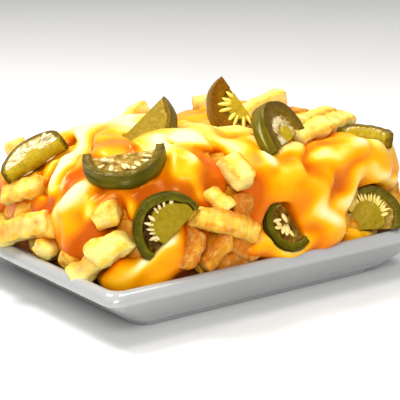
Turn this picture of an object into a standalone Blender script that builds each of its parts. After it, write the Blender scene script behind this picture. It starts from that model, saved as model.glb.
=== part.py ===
"""Plate of cheese fries: a heap of fries on a small rectangular porcelain plate,
poured over with thick cheese sauce and topped with half slices of pickled jalapeno.

Metres, +Z up. The origin is on the table, under the middle of the plate. X is the
plate's long side. Places on the heap are given as (bearing, rise, out): two angles
in degrees on the heap's smooth outline and millimetres out from it.
"""
import math
import random

import bmesh
import bpy
import numpy as np
from mathutils import Matrix, Vector

MM = 0.001
GAP = 0.3 * MM                      # clearance between neighbouring solids

# Plate ------------------------------------------------------------------------
FOOT_X, FOOT_Y = 60 * MM, 50 * MM   # half sizes outside the foot ring
FOOT_WIDTH = 4 * MM
FOOT_HEIGHT = 1.8 * MM
LIP_X, LIP_Y = 83 * MM, 67 * MM     # half sizes at the outermost edge
LIP_HEIGHT = 17 * MM                # where the plate is widest
CREST_HEIGHT = 21 * MM              # top of the rounded lip
CREST_INSET = 3 * MM
THROAT_INSET = 5.6 * MM             # inner edge of the lip, in from the outermost edge
THROAT_HEIGHT = 19.6 * MM
FLOOR_X, FLOOR_Y = 57.5 * MM, 46 * MM
FLOOR_HEIGHT = 4.2 * MM
RECESS_HEIGHT = 1.2 * MM            # underside inside the foot ring
CORNER_STEPS = 5

# Heap outline: a superellipsoid dome that leans up towards +X, -Y --------------
DOME_X, DOME_Y, DOME_Z = 75.5 * MM, 59.5 * MM, 47 * MM
DOME_BASE = 15 * MM                 # height of the dome's centre
PLAN_ROUNDNESS = 0.45               # 1 is an ellipse, 0 a rectangle
SIDE_ROUNDNESS = 0.55
DOME_LEAN = 0.06
BACK_TAPER = 0.18                   # how far the back (+Y) draws in at full height
CORE_INSET = 3 * MM                 # bare core, in from the outline
CORE_BEARINGS, CORE_RISES = 28, 8
SAUCE_DEPTH = 7 * MM                # depth below the outline where a pour starts
SAUCE_BEARINGS, SAUCE_RISES = 120, 28
SAUCE_SMOOTHING = 2                 # passes over the height map
SAUCE_KEEP = 0.15                   # share of the sauce's faces kept when thinned

# Fries --------------------------------------------------------------------------
FRY_SIDE = 8.2 * MM
GOLDEN_ANGLE = 137.5                # degrees, spreads places evenly round the heap
FRY_RINGS = 3
FILLER_PLACES = 700                 # places tried, each with a few headings
FILLER_HEADINGS = 8
FILLER_SPACING = 8.0 * MM           # least distance between two fries' middles
FILLER_LOWEST = 14 * MM
FILLER_UNDER = 1.0 * MM             # how far a fry may reach under the sauce's edge
FILLER_SEED = 11
FILLER_LENGTHS = (15 * MM, 38 * MM)

# Shown fries: two ends as (bearing, rise, out), side scale, bend in millimetres.
FRIES = {
    "long_left": ((165, 11, 9), (191, 25, 0), 1.1, -1.0),
    "left_chunk": ((156, 26, 0), (178, 36, 0), 1.0, 0.5),
    "left_nub": ((168, 22, 0), (177, 29, -4), 0.8, 0.0),
    "left_cross": ((185, 21, 1), (195, 22, -2), 1.1, 0.0),
    "cube": ((192, 11, 4), (189, 15, -9), 1.1, 0.0),
    "cube_low": ((205, 9, 2), (201, 13, -9), 1.0, 0.0),
    "wavy_upper": ((225, 21, 2), (214, 13, 3), 1.3, 1.5),
    "wavy_lower": ((220, 15, 4), (211, 6, 6), 1.2, -1.0),
    "ring_end": ((219, 26, 5), (214, 42, -11), 1.15, 0.0),
    "top_tip": ((57, 56, 7), (58, 56, -4), 0.9, 0.0),
    "top_long": ((354, 73, -2), (356, 56, 7), 1.1, 1.0),
    "right_long": ((295, 49, 2), (325, 43, 6), 1.1, 1.0),
    "right_back": ((305, 54, 4), (329, 47, 5), 1.0, 0.0),
    "right_edge": ((319, 28, 3), (322, 16, 6), 1.0, 0.0),
    "chunk": ((254, 39, 5), (256, 58, -8), 1.3, 0.0),
    "cross": ((239, 28, 4), (261, 16, 3), 1.0, 1.5),
    "steep_left": ((242, 24, 1), (239, 10, 1), 1.0, 0.0),
    "steep_right": ((249, 17, 2), (244, 9, 1), 1.1, 0.0),
    "block": ((256, 14, -2), (254, 6, -2), 1.1, 0.0),
    "low": ((244, 8, -1), (261, 9, -1), 0.9, 0.0),
    "left_tip": ((138, 37, 8), (139, 35, -3), 0.9, 0.0),
    "top_left": ((112, 58, -2), (92, 60, 6), 0.9, 0.0),
    "behind_cross": ((258, 34, -2), (256, 23, -2), 1.1, 0.0),
    "right_over": ((6, 13, 9.9), (20, 34, -3), 1.05, 0.0),
}

# Sauce pours: points as (bearing, rise), half width and height over the outline in mm.
POURS = {
    "drape_top": (((130, 49), (123, 54), (108, 60), (180, 73)), 8, 6.0),
    "drape_ridge": (((152, 60), (188, 45), (186, 35)), 5, 4.5),
    "drape_side": (((144, 67), (209, 58), (199, 55)), 8, 4.0),
    "left_under": (((167, 51), (171, 40), (159, 29)), 6, 1.5),
    "left_low": (((159, 22), (174, 29), (187, 29)), 5, 0.5),
    "fold": (((205, 39), (201, 30), (200, 18), (208, 15)), 9, 2.5),
    "ring_fold": (((210, 28), (213, 34), (220, 35), (225, 30)), 5, 3.0),
    "under_slice": (((219, 36), (232, 35), (242, 32)), 8, 1.5),
    "centre_top": (((224, 57), (238, 62), (252, 52)), 11, 3.5),
    "centre": (((228, 46), (239, 38), (249, 31)), 12, 2.5),
    "centre_lobe": (((247, 41), (250, 32), (253, 33)), 7, 3.5),
    "band": (((246, 74), (255, 55), (259, 41)), 6, 4.5),
    "front_pool": (((234, 16), (228, 10), (222, 4)), 10, 2.5),
    "front_pool_edge": (((236, 18), (237, 8), (230, 4)), 9, 2.0),
    "strip": (((262, 60), (268, 50), (272, 44), (285, 45)), 7, 4.0),
    "right_link": (((246, 66), (262, 60)), 8, 3.0),
    "right_ridge": (((286, 44), (288, 33), (292, 21), (294, 10)), 12, 4.0),
    "right_fold": (((270, 36), (280, 25), (290, 10)), 12, 2.5),
    "right_edge": (((268, 39), (264, 28), (263, 20)), 7, 1.0),
    "right_top": (((295, 44), (309, 37), (319, 30)), 9, 3.5),
    "right_end": (((308, 29), (318, 22), (320, 14)), 9, 2.5),
    "right_middle": (((294, 31), (302, 26), (293, 20)), 9, 3.0),
    "rim_pool": (((279, 9), (294, 6), (312, 5)), 6, 1.0),
    "coated_fry": (((261, 10), (277, 9)), 6, 3.0),
    "summit": (((238, 62), (300, 84), (60, 80), (64, 62)), 12, 2.5),
    "summit_left": (((180, 73), (120, 80), (100, 64)), 9, 3.0),
    "summit_right": (((285, 56), (320, 64), (345, 50)), 8, 2.0),
    "side_high": (((345, 50), (352, 40), (350, 28)), 11, 3.0),
    "side_low": (((350, 28), (356, 18), (350, 10)), 8, 2.5),
    "back_right": (((40, 78), (24, 62), (30, 46), (34, 32), (28, 20)), 10, 3.0),
    "back_middle": (((64, 62), (66, 48), (68, 30), (70, 16)), 11, 3.0),
    "back_left": (((104, 57), (112, 42), (116, 30), (112, 22)), 9, 3.0),
    "back_link": (((30, 46), (52, 46), (68, 42)), 8, 2.5),
    "left_back": (((140, 55), (148, 40), (146, 24)), 9, 2.5),
}

# Half slices: place (bearing, rise, out), facing (bearing, elevation), roll, radius in
# mm, and how far the straight cut lies below the ring's centre, as a share of the radius.
SLICES = {
    "left_end": ((166, 42, 4), (176, 57), 290, 14.5, 0.0),
    "left_middle": ((218, 45, 5), (219, 64), 162, 15.5, 0.1),
    "front": ((234, 23, 3), (244, 5), 315, 13.8, 0.15),
    "standing": ((194, 69, 4), (203, 37), 121, 15.5, 0.0),
    "crown": ((325, 73, 6), (253, 26), 241, 14.5, 0.0),
    "high": ((282, 50, 5), (292, 32), 350, 14.5, 0.2),
    "right_flat": ((311, 37, 5), (318, 84), 85, 12.2, 0.0),
    "right_front": ((273, 19.3, 0), (261, 24), 254, 11.2, 0.2),
    "right_rim": ((306, 11, -1), (237, 15), 359, 13.2, 0.4),
    "back_high": ((48, 21, 3), (50, 14), 40, 15.0, 0.1),
    "back_low": ((88, 26, 4), (84, 14), 200, 15.0, 0.1),
    "side_back": ((8, 24, 3), (6, 14), 320, 14.5, 0.1),
}
SLICE_THICK = 6.5 * MM
SLICE_WALL = 3.6 * MM               # flesh between skin and seed chamber
SLICE_CORE = 0.46                   # placenta radius, share of the slice's radius
CHAMBER_DEPTH = 1.5 * MM
SLICE_STEPS = 6
SEEDS_PER_SLICE = 3
SEED_HALF = (1.9 * MM, 1.0 * MM, 0.9 * MM)

COLOURS = {                         # linear base colour, roughness
    "porcelain": ((0.86, 0.87, 0.88), 0.12),
    "fry": ((0.86, 0.55, 0.10), 0.55),
    "cheese": ((0.93, 0.40, 0.03), 0.25),
    "jalapeno": ((0.16, 0.20, 0.03), 0.35),
}


# Small helpers ------------------------------------------------------------------

def clear_scene():
    for obj in list(bpy.data.objects):
        bpy.data.objects.remove(obj, do_unlink=True)


def material(kind):
    mat = bpy.data.materials.get(kind) or bpy.data.materials.new(kind)
    mat.use_nodes = True
    shader = mat.node_tree.nodes["Principled BSDF"]
    colour, roughness = COLOURS[kind]
    shader.inputs["Base Color"].default_value = (*colour, 1.0)
    shader.inputs["Roughness"].default_value = roughness
    shader.inputs["Metallic"].default_value = 0.0
    return mat


def add_object(name, mesh, kind=None, collection=None):
    obj = bpy.data.objects.new(name, mesh)
    (collection or bpy.context.scene.collection).objects.link(obj)
    if kind:
        mesh.materials.clear()
        mesh.materials.append(material(kind))
    return obj


def mesh_from(points, faces, name):
    """A mesh of triangles, with its faces turned outwards."""
    mesh = bpy.data.meshes.new(name)
    mesh.from_pydata([tuple(p) for p in points], [], faces)
    bm = bmesh.new()
    bm.from_mesh(mesh)
    bmesh.ops.recalc_face_normals(bm, faces=bm.faces)
    bmesh.ops.triangulate(bm, faces=bm.faces)
    bm.to_mesh(mesh)
    bm.free()
    return mesh


def loft(rings, name):
    """Close a stack of equal rings of points with a fan at both ends."""
    count = len(rings[0])
    points = [p for ring in rings for p in ring]
    faces = []
    for level in range(len(rings) - 1):
        for k in range(count):
            a = level * count + k
            b = level * count + (k + 1) % count
            faces.append((a, b, b + count, a + count))
    for start in (0, (len(rings) - 1) * count):
        centre = len(points)
        points.append(np.mean(points[start:start + count], axis=0))
        faces += [(start + k, start + (k + 1) % count, centre) for k in range(count)]
    return mesh_from(points, faces, name)


def apply_modifiers(obj):
    graph = bpy.context.evaluated_depsgraph_get()
    mesh = bpy.data.meshes.new_from_object(obj.evaluated_get(graph))
    obj.modifiers.clear()
    obj.data = mesh


def combine(obj, collection, operation):
    """One Boolean of an object with all that a collection holds, applied."""
    step = obj.modifiers.new("combine", "BOOLEAN")
    step.operand_type = "COLLECTION"
    step.collection = collection
    step.operation = operation
    step.solver = "MANIFOLD"
    apply_modifiers(obj)


def drop_collection(collection):
    for obj in list(collection.objects):
        bpy.data.objects.remove(obj, do_unlink=True)
    bpy.data.collections.remove(collection)


def new_collection(name):
    collection = bpy.data.collections.new(name)
    bpy.context.scene.collection.children.link(collection)
    return collection


def keep_largest(obj):
    """Keep the largest closed shell: loose scraps go, sealed hollows are filled."""
    bm = bmesh.new()
    bm.from_mesh(obj.data)
    shells = []
    seen = set()
    for face in bm.faces:
        if face in seen:
            continue
        shell, queue = [], [face]
        seen.add(face)
        while queue:
            current = queue.pop()
            shell.append(current)
            for edge in current.edges:
                for other in edge.link_faces:
                    if other not in seen:
                        seen.add(other)
                        queue.append(other)
        shells.append(shell)
    shells.sort(key=shell_volume, reverse=True)
    scraps = [face for shell in shells[1:] for face in shell]
    bmesh.ops.delete(bm, geom=scraps, context="FACES")
    bmesh.ops.triangulate(bm, faces=bm.faces)
    bm.to_mesh(obj.data)
    bm.free()


def shell_volume(shell):
    """Signed volume inside a shell of faces."""
    total = 0.0
    for face in shell:
        first = face.verts[0].co
        for a, b in zip(face.verts[1:], face.verts[2:]):
            total += first.dot(a.co.cross(b.co)) / 6.0
    return total


# Plate --------------------------------------------------------------------------

def rounded_rectangle(half_x, half_y, corner, height):
    """Points round a rectangle with arcs of the given radius at its corners."""
    points = []
    for quarter in range(4):
        sign_x = 1 if quarter in (0, 3) else -1
        sign_y = 1 if quarter in (0, 1) else -1
        for step in range(CORNER_STEPS + 1):
            angle = math.radians(90 * (quarter + step / CORNER_STEPS))
            points.append((sign_x * (half_x - corner) + corner * math.cos(angle),
                           sign_y * (half_y - corner) + corner * math.sin(angle), height))
    return points


def inner_rings(grow=0.0):
    """The plate's inner face from floor to throat, grown into the hollow."""
    return [
        rounded_rectangle(FLOOR_X - grow, FLOOR_Y - grow, 5 * MM, FLOOR_HEIGHT + grow),
        rounded_rectangle(FLOOR_X + 1.5 * MM - grow, FLOOR_Y + 1.5 * MM - grow, 5 * MM,
                          FLOOR_HEIGHT + 1.2 * MM + grow),
        rounded_rectangle(LIP_X - THROAT_INSET - grow, LIP_Y - THROAT_INSET - grow, 5 * MM,
                          THROAT_HEIGHT + grow),
    ]


def lip_rings(grow=0.0):
    """The rounded lip, from its crest out and down to the widest edge."""
    return [
        rounded_rectangle(LIP_X - CREST_INSET - 1.2 * MM, LIP_Y - CREST_INSET - 1.2 * MM,
                          5 * MM, CREST_HEIGHT + grow),
        rounded_rectangle(LIP_X - CREST_INSET + 1.2 * MM, LIP_Y - CREST_INSET + 1.2 * MM,
                          5.5 * MM, CREST_HEIGHT - 0.4 * MM + grow),
        rounded_rectangle(LIP_X - 0.4 * MM + grow, LIP_Y - 0.4 * MM + grow, 6 * MM,
                          LIP_HEIGHT + 1.6 * MM + grow),
        rounded_rectangle(LIP_X + grow, LIP_Y + grow, 6 * MM, LIP_HEIGHT),
    ]


def outer_rings():
    """Outer wall and foot, from under the lip to the underside's recess."""
    inner_x, inner_y = FOOT_X - FOOT_WIDTH, FOOT_Y - FOOT_WIDTH
    return [
        rounded_rectangle(LIP_X - 1.6 * MM, LIP_Y - 1.3 * MM, 6 * MM, LIP_HEIGHT - 1.6 * MM),
        rounded_rectangle(FOOT_X + 3 * MM, FOOT_Y + 2.5 * MM, 7 * MM, FOOT_HEIGHT + 0.8 * MM),
        rounded_rectangle(FOOT_X + 0.4 * MM, FOOT_Y + 0.4 * MM, 7 * MM, FOOT_HEIGHT),
        rounded_rectangle(FOOT_X, FOOT_Y, 7 * MM, 0.0),
        rounded_rectangle(inner_x, inner_y, 5 * MM, 0.0),
        rounded_rectangle(inner_x - 0.8 * MM, inner_y - 0.8 * MM, 5 * MM, RECESS_HEIGHT),
    ]


def build_plate():
    rings = inner_rings() + lip_rings() + outer_rings()
    obj = add_object("plate", loft(rings, "plate"), "porcelain")
    obj.data.shade_smooth()
    obj.data.set_sharp_from_angle(angle=math.radians(40))
    return obj


def plate_cutter(collection):
    """The plate with its clearance, closed below, for cutting the food."""
    below = [rounded_rectangle(LIP_X + GAP, LIP_Y + GAP, 6 * MM, -5 * MM)]
    rings = inner_rings(GAP) + lip_rings(GAP) + below
    return add_object("plate_space", loft(rings, "plate_space"), collection=collection)


# Heap outline -------------------------------------------------------------------

def lean(x, y):
    return 1 + DOME_LEAN * (x / DOME_X - y / DOME_Y) / 1.4


def taper(y, rise):
    """Share of its full width that the heap keeps at a height, on its back half."""
    return np.where(y > 0, 1 - BACK_TAPER * np.clip(rise / DOME_Z, 0, 1.3), 1)


def outline_scale(x, y, z):
    """The superellipsoid's own scale at a point: 1 on its surface."""
    plan = np.abs(x / DOME_X) ** (2 / PLAN_ROUNDNESS) + np.abs(y / DOME_Y) ** (2 / PLAN_ROUNDNESS)
    side = plan ** (PLAN_ROUNDNESS / SIDE_ROUNDNESS) + np.abs(z / DOME_Z) ** (2 / SIDE_ROUNDNESS)
    return side ** (SIDE_ROUNDNESS / 2)


def dome_scale(points):
    """1 on the heap's outline, less inside and more outside."""
    x, y = points[..., 0], points[..., 1]
    z = (points[..., 2] - DOME_BASE) / lean(x, y)
    return outline_scale(x, y / taper(y, z), z)


def dome_normal(points):
    step = 0.05 * MM
    slope = [dome_scale(points + step * axis) - dome_scale(points - step * axis)
             for axis in np.eye(3)]
    slope = np.stack(slope, axis=-1)
    return slope / np.linalg.norm(slope, axis=-1, keepdims=True)


def dome(bearing, rise, out=0.0):
    """Points of the heap's outline at two angles, moved out along the normal."""
    bearing, rise = np.radians(bearing), np.radians(rise)
    ray = np.stack([np.cos(bearing) * np.cos(rise), np.sin(bearing) * np.cos(rise),
                    np.sin(rise)], axis=-1) * (DOME_X, DOME_Y, DOME_Z)
    x, y, z = np.moveaxis(ray, -1, 0) / outline_scale(*np.moveaxis(ray, -1, 0))
    y = y * taper(y, z)
    points = np.stack([x, y, DOME_BASE + z * lean(x, y)], axis=-1)
    return points + dome_normal(points) * np.asarray(out)[..., None]


def place(spot):
    bearing, rise, out = spot
    return dome(np.array(float(bearing)), np.array(float(rise)), out * MM)


def dome_shell(bearings, rises, height_map, name):
    """A closed solid: the outline moved by a height map, down to inside the plate."""
    angle, rise = np.meshgrid(np.linspace(0, 360, bearings, endpoint=False),
                              np.linspace(1, 88, rises))
    rings = dome(angle, rise, height_map(angle, rise))
    return loft([ring_below(rings[0]), *rings], name)


def ring_below(ring):
    """A smaller ring under the lowest one, just over the plate's floor."""
    low = ring.copy()
    low[:, 0] *= (FLOOR_X - 2 * MM) / DOME_X
    low[:, 1] *= (FLOOR_Y - 2 * MM) / DOME_Y
    low[:, 2] = FLOOR_HEIGHT + GAP
    return low


def core_mesh(grow, name):
    return dome_shell(CORE_BEARINGS, CORE_RISES,
                      lambda bearing, rise: np.full(bearing.shape, grow - CORE_INSET), name)


# Fries --------------------------------------------------------------------------

def fry_mesh(start, end, side, bend, name, grow=0.0):
    """A square bar between two points, slightly bent outwards."""
    start, end = Vector(start), Vector(end)
    along = (end - start).normalized()
    outward = Vector(dome_normal(np.array((start + end) / 2)))
    across = along.cross(outward).normalized()
    outward = across.cross(along).normalized()
    half = side / 2 + grow
    corners = [(half, -half), (half, half), (-half, half), (-half, -half)]
    rings = []
    for k in range(FRY_RINGS):
        share = k / (FRY_RINGS - 1)
        centre = (start - along * grow).lerp(end + along * grow, share)
        centre = centre + outward * bend * math.sin(math.pi * share)
        rings.append([centre + across * a + outward * b for a, b in corners])
    return loft([[tuple(p) for p in ring] for ring in rings], name)


def filler_fries(pours):
    """Seeded fries over the bare places between the sauce, the slices and the shown fries."""
    draw = random.Random(FILLER_SEED)
    taken = [(place(a) + place(b)) / 2 for a, b, _, _ in FRIES.values()]
    chosen = []
    for k in range(FILLER_PLACES):
        middle = dome(np.array((k * GOLDEN_ANGLE) % 360), np.array(draw.uniform(6, 78)))
        if min(np.linalg.norm(middle - other) for other in taken) < FILLER_SPACING:
            continue
        out = draw.uniform(-3.5, -0.5) * MM
        side = FRY_SIDE * draw.uniform(0.85, 1.1)
        for _ in range(FILLER_HEADINGS):
            line = bar_line(middle, draw.uniform(0, math.pi), draw.uniform(*FILLER_LENGTHS), out)
            if is_free(line, side, pours):
                taken.append(middle)
                chosen.append((line[0], line[-1], side, draw.uniform(-0.5, 1.0) * MM))
                break
    return chosen


def bar_line(middle, heading, length, out):
    """Points along a fry that hugs the outline, heading given in the tangent plane."""
    normal = dome_normal(middle)
    level = np.cross((0, 0, 1), normal)
    level /= np.linalg.norm(level)
    way = math.cos(heading) * level + math.sin(heading) * np.cross(normal, level)
    ends = [settle(middle + way * length / 2 * sign, out) for sign in (-1, 1)]
    return np.linspace(ends[0], ends[1], 5)


def is_free(line, side, pours):
    """Whether a fry shows beside the sauce and clears the plate and the slices."""
    low = line[:, 2] < CREST_HEIGHT + 0.6 * side
    room = np.minimum(LIP_X - THROAT_INSET - np.abs(line[:, 0]),
                      LIP_Y - THROAT_INSET - np.abs(line[:, 1]))
    if (low & (room < 0.5 * side)).any() or line[:, 2].min() < FILLER_LOWEST:
        return False
    if pour_edge(line, pours).min() < -FILLER_UNDER:
        return False
    for spot, _, _, radius, _ in SLICES.values():
        if np.linalg.norm(line - place(spot), axis=1).min() < radius * MM:
            return False
    return True


def settle(point, out):
    """Move a point along the normal until it lies at a distance from the outline."""
    for _ in range(4):
        scale = dome_scale(point)
        centre = np.array((0, 0, DOME_BASE))
        point = centre + (point - centre) / scale
        point = point + dome_normal(point) * out
    return point


# Sauce --------------------------------------------------------------------------

def pour_points(spots):
    """Close points along a pour, on the heap's outline."""
    points = []
    for (b0, r0), (b1, r1) in zip(spots, spots[1:]):
        turn = (b1 - b0 + 180) % 360 - 180
        share = np.linspace(0, 1, 16)
        points.append(dome(b0 + turn * share, r0 + (r1 - r0) * share))
    return np.concatenate(points)


def pour_edge(points, pours):
    """Distance from each point to the nearest pour's edge, negative inside."""
    edge = np.full(len(points), 1.0)
    for route, half_width, _ in pours:
        gaps = np.linalg.norm(points[:, None, :] - route[None, :, :], axis=2).min(axis=1)
        edge = np.minimum(edge, gaps - half_width)
    return edge


def sauce_height(bearing, rise, pours):
    """Height map of the sauce over the outline: each pour has a half-ellipse section."""
    points = dome(bearing, rise).reshape(-1, 3)
    height = np.full(len(points), -SAUCE_DEPTH)
    for route, half_width, top in pours:
        gaps = np.linalg.norm(points[:, None, :] - route[None, :, :], axis=2).min(axis=1)
        rounded = np.sqrt(np.clip(1 - (gaps / half_width) ** 2, 0, None))
        height = np.maximum(height, (SAUCE_DEPTH + top) * rounded - SAUCE_DEPTH)
    height = height.reshape(bearing.shape)
    for _ in range(SAUCE_SMOOTHING):
        beside = (np.roll(height, 1, axis=1) + np.roll(height, -1, axis=1)) / 2
        padded = np.pad(height, ((1, 1), (0, 0)), mode="edge")
        height = (2 * height + beside + (padded[2:] + padded[:-2]) / 2) / 4
    return height


def sauce_mesh(pours):
    """The poured sauce as one thick closed shell, thinned to fewer faces."""
    mesh = dome_shell(SAUCE_BEARINGS, SAUCE_RISES,
                      lambda bearing, rise: sauce_height(bearing, rise, pours), "sauce")
    obj = add_object("sauce_draft", mesh)
    thin = obj.modifiers.new("thin", "DECIMATE")
    thin.ratio = SAUCE_KEEP
    apply_modifiers(obj)
    mesh = obj.data
    bpy.data.objects.remove(obj, do_unlink=True)
    return mesh


# Jalapeno slices ------------------------------------------------------------------

def slice_frame(spot, facing, roll):
    """Local axes of a half slice: X along the cut, Y to the arc, Z out of its face."""
    bearing, elevation = (math.radians(angle) for angle in facing)
    face = Vector((math.cos(bearing) * math.cos(elevation),
                   math.sin(bearing) * math.cos(elevation), math.sin(elevation)))
    level = Vector((-math.sin(bearing), math.cos(bearing), 0))
    upward = face.cross(level)
    turn = math.radians(roll)
    arc = upward * math.cos(turn) + level * math.sin(turn)
    cut = arc.cross(face)
    frame = Matrix((cut, arc, face)).transposed().to_4x4()
    frame.translation = Vector(place(spot))
    return frame


def slice_profile(radius):
    """Radius and half thickness from the placenta out to the skin."""
    half = SLICE_THICK / 2
    core = radius * SLICE_CORE
    wall = radius - SLICE_WALL
    return [(core, half - 0.2 * MM), (core + 0.6 * MM, half - CHAMBER_DEPTH),
            (wall - 0.6 * MM, half - CHAMBER_DEPTH), (wall, half), (radius - 0.5 * MM, half),
            (radius, half - 1.2 * MM)]


def arc_points(radius, low):
    """Points of an arc above a straight cut that lies `low` under its centre."""
    dip = math.asin(low / radius)
    turns = [-dip + (math.pi + 2 * dip) * k / SLICE_STEPS for k in range(SLICE_STEPS + 1)]
    return [(radius * math.cos(turn), radius * math.sin(turn)) for turn in turns]


def slice_mesh(radius, low, name):
    """A half ring: skin, wall, seed chamber sunk on both sides, and placenta."""
    profile = slice_profile(radius)
    arcs = [arc_points(r, low) for r, _ in profile]
    points, faces = [], []
    for side in (1, -1):
        points.append((0, -low, side * SLICE_THICK / 2))
        for step in range(SLICE_STEPS + 1):
            points += [(*arc[step], side * z) for arc, (_, z) in zip(arcs, profile)]
    row, lower = len(profile), 1 + len(profile) * (SLICE_STEPS + 1)
    for base in (0, lower):
        for step in range(SLICE_STEPS):
            a = base + 1 + step * row
            faces.append((base, a, a + row))
            faces += [(a + k, a + k + 1, a + k + 1 + row, a + k + row) for k in range(row - 1)]
    for step in range(SLICE_STEPS):
        a = step * row + row
        faces.append((a, a + row, a + row + lower, a + lower))
    last = 1 + SLICE_STEPS * row
    for start in (1, last):
        faces.append((0, start, start + lower, lower))
        faces += [(start + k, start + k + 1, start + k + 1 + lower, start + k + lower)
                  for k in range(row - 1)]
    return mesh_from(points, faces, name)


def seed_mesh(name):
    """An eight-sided seed."""
    a, b, c = SEED_HALF
    points = [(a, 0, 0), (-a, 0, 0), (0, b, 0), (0, -b, 0), (0, 0, c), (0, 0, -c)]
    faces = [(i, j, k) for i in (0, 1) for j in (2, 3) for k in (4, 5)]
    return mesh_from(points, faces, name)


def add_seeds(obj, radius):
    """Fuse a row of seeds to the floor of the slice's upper chamber."""
    seeds = new_collection(obj.name + "_seeds")
    middle = (radius * SLICE_CORE + radius - SLICE_WALL) / 2
    floor = SLICE_THICK / 2 - CHAMBER_DEPTH
    for k in range(SEEDS_PER_SLICE):
        angle = math.pi * (k + 0.5) / SEEDS_PER_SLICE
        seed = add_object("seed", seed_mesh("seed"), collection=seeds)
        seed.matrix_world = (Matrix.Translation((middle * math.cos(angle),
                                                 middle * math.sin(angle), floor))
                             @ Matrix.Rotation(angle, 4, "Z"))
    combine(obj, seeds, "UNION")
    drop_collection(seeds)
    keep_largest(obj)


def build_slice(name, spot, facing, roll, radius, cut):
    mesh = slice_mesh(radius * MM, radius * cut * MM, name)
    obj = add_object("jalapeno_" + name, mesh, "jalapeno")
    add_seeds(obj, radius * MM)
    obj.data.materials.clear()
    obj.data.materials.append(material("jalapeno"))
    obj.matrix_world = slice_frame(spot, facing, roll)


def slice_cutter(collection, spot, facing, roll, radius, cut):
    """A plain half disc a gap larger than the slice, for cutting its bed."""
    outline = arc_points(radius * MM + 1.5 * GAP, radius * cut * MM + GAP)
    rings = [[(x, y, z) for x, y in outline]
             for z in (-SLICE_THICK / 2 - GAP, SLICE_THICK / 2 + GAP)]
    obj = add_object("slice_space", loft(rings, "slice_space"), collection=collection)
    obj.matrix_world = slice_frame(spot, facing, roll)


# Assembly -------------------------------------------------------------------------

def heap_fries(pours):
    """Every fry of the heap: ends, side and bend."""
    shown = [(place(a), place(b), FRY_SIDE * scale, bend * MM)
             for a, b, scale, bend in FRIES.values()]
    return shown + filler_fries(pours)


def build_heap(fries):
    bars = new_collection("fry_bars")
    for start, end, side, bend in fries:
        add_object("fry", fry_mesh(start, end, side, bend, "fry"), collection=bars)
    heap = add_object("fries", core_mesh(0.0, "fries"), "fry")
    combine(heap, bars, "UNION")
    drop_collection(bars)
    return heap


def fry_spaces(collection, fries):
    """The core and the fries with their clearance, for cutting the sauce."""
    add_object("core_space", core_mesh(GAP, "core_space"), collection=collection)
    for start, end, side, bend in fries:
        mesh = fry_mesh(start, end, side, bend, "fry_space", grow=GAP)
        add_object("fry_space", mesh, collection=collection)


def main():
    clear_scene()
    pours = [(pour_points(spots), width * MM, top * MM) for spots, width, top in POURS.values()]
    build_plate()
    for name, row in SLICES.items():
        build_slice(name, *row)
    fries = heap_fries(pours)
    heap = build_heap(fries)
    sauce = add_object("cheese_sauce", sauce_mesh(pours), "cheese")
    spaces = new_collection("spaces")
    plate_cutter(spaces)
    for row in SLICES.values():
        slice_cutter(spaces, *row)
    combine(heap, spaces, "DIFFERENCE")
    fry_spaces(spaces, fries)
    combine(sauce, spaces, "DIFFERENCE")
    drop_collection(spaces)
    for obj, kind in ((heap, "fry"), (sauce, "cheese")):
        keep_largest(obj)
        obj.data.materials.clear()
        obj.data.materials.append(material(kind))


main()
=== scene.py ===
"""Looks of the plate of cheese fries: every fry, the poured sauce, the jalapeno slices
and the glazed plate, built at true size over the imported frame.

Sizes inside this script are in millimetres; meshes are scaled to metres when made.
Places on the heap are (bearing, rise, out): two angles in degrees on the heap's smooth
outline and millimetres out from it, as in the part's own source.
"""
import itertools
import math
import random
from collections import namedtuple

import bmesh
import bpy
import numpy as np
from mathutils import Matrix, Vector


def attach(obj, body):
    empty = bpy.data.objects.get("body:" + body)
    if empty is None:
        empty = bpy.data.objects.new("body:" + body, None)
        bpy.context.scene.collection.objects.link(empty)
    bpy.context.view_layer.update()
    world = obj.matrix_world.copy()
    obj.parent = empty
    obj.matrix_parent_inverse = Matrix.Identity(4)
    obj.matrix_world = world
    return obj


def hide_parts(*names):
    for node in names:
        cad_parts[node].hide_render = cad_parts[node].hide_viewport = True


MM = 0.001

# Camera: the photo's solved view --------
VIEW_AZIMUTH = -36.7
VIEW_ELEVATION = 14.5
VIEW_TARGET = (25.9, 27.1, 20.0)
VIEW_DISTANCE = 626.8
LENS, SENSOR = 126.0, 36.0

# Plate ---------------------------------
FOOT_X, FOOT_Y, FOOT_HEIGHT = 60.0, 50.0, 1.8
FOOT_WIDTH = 4.0
LIP_X, LIP_Y, LIP_HEIGHT = 83.0, 67.0, 17.0
CREST_HEIGHT = 21.0
THROAT_INSET = 5.6
THROAT_HEIGHT = 19.6
FLOOR_X, FLOOR_Y, FLOOR_HEIGHT = 57.5, 46.0, 4.2
CORNER_STEPS = 14
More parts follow.
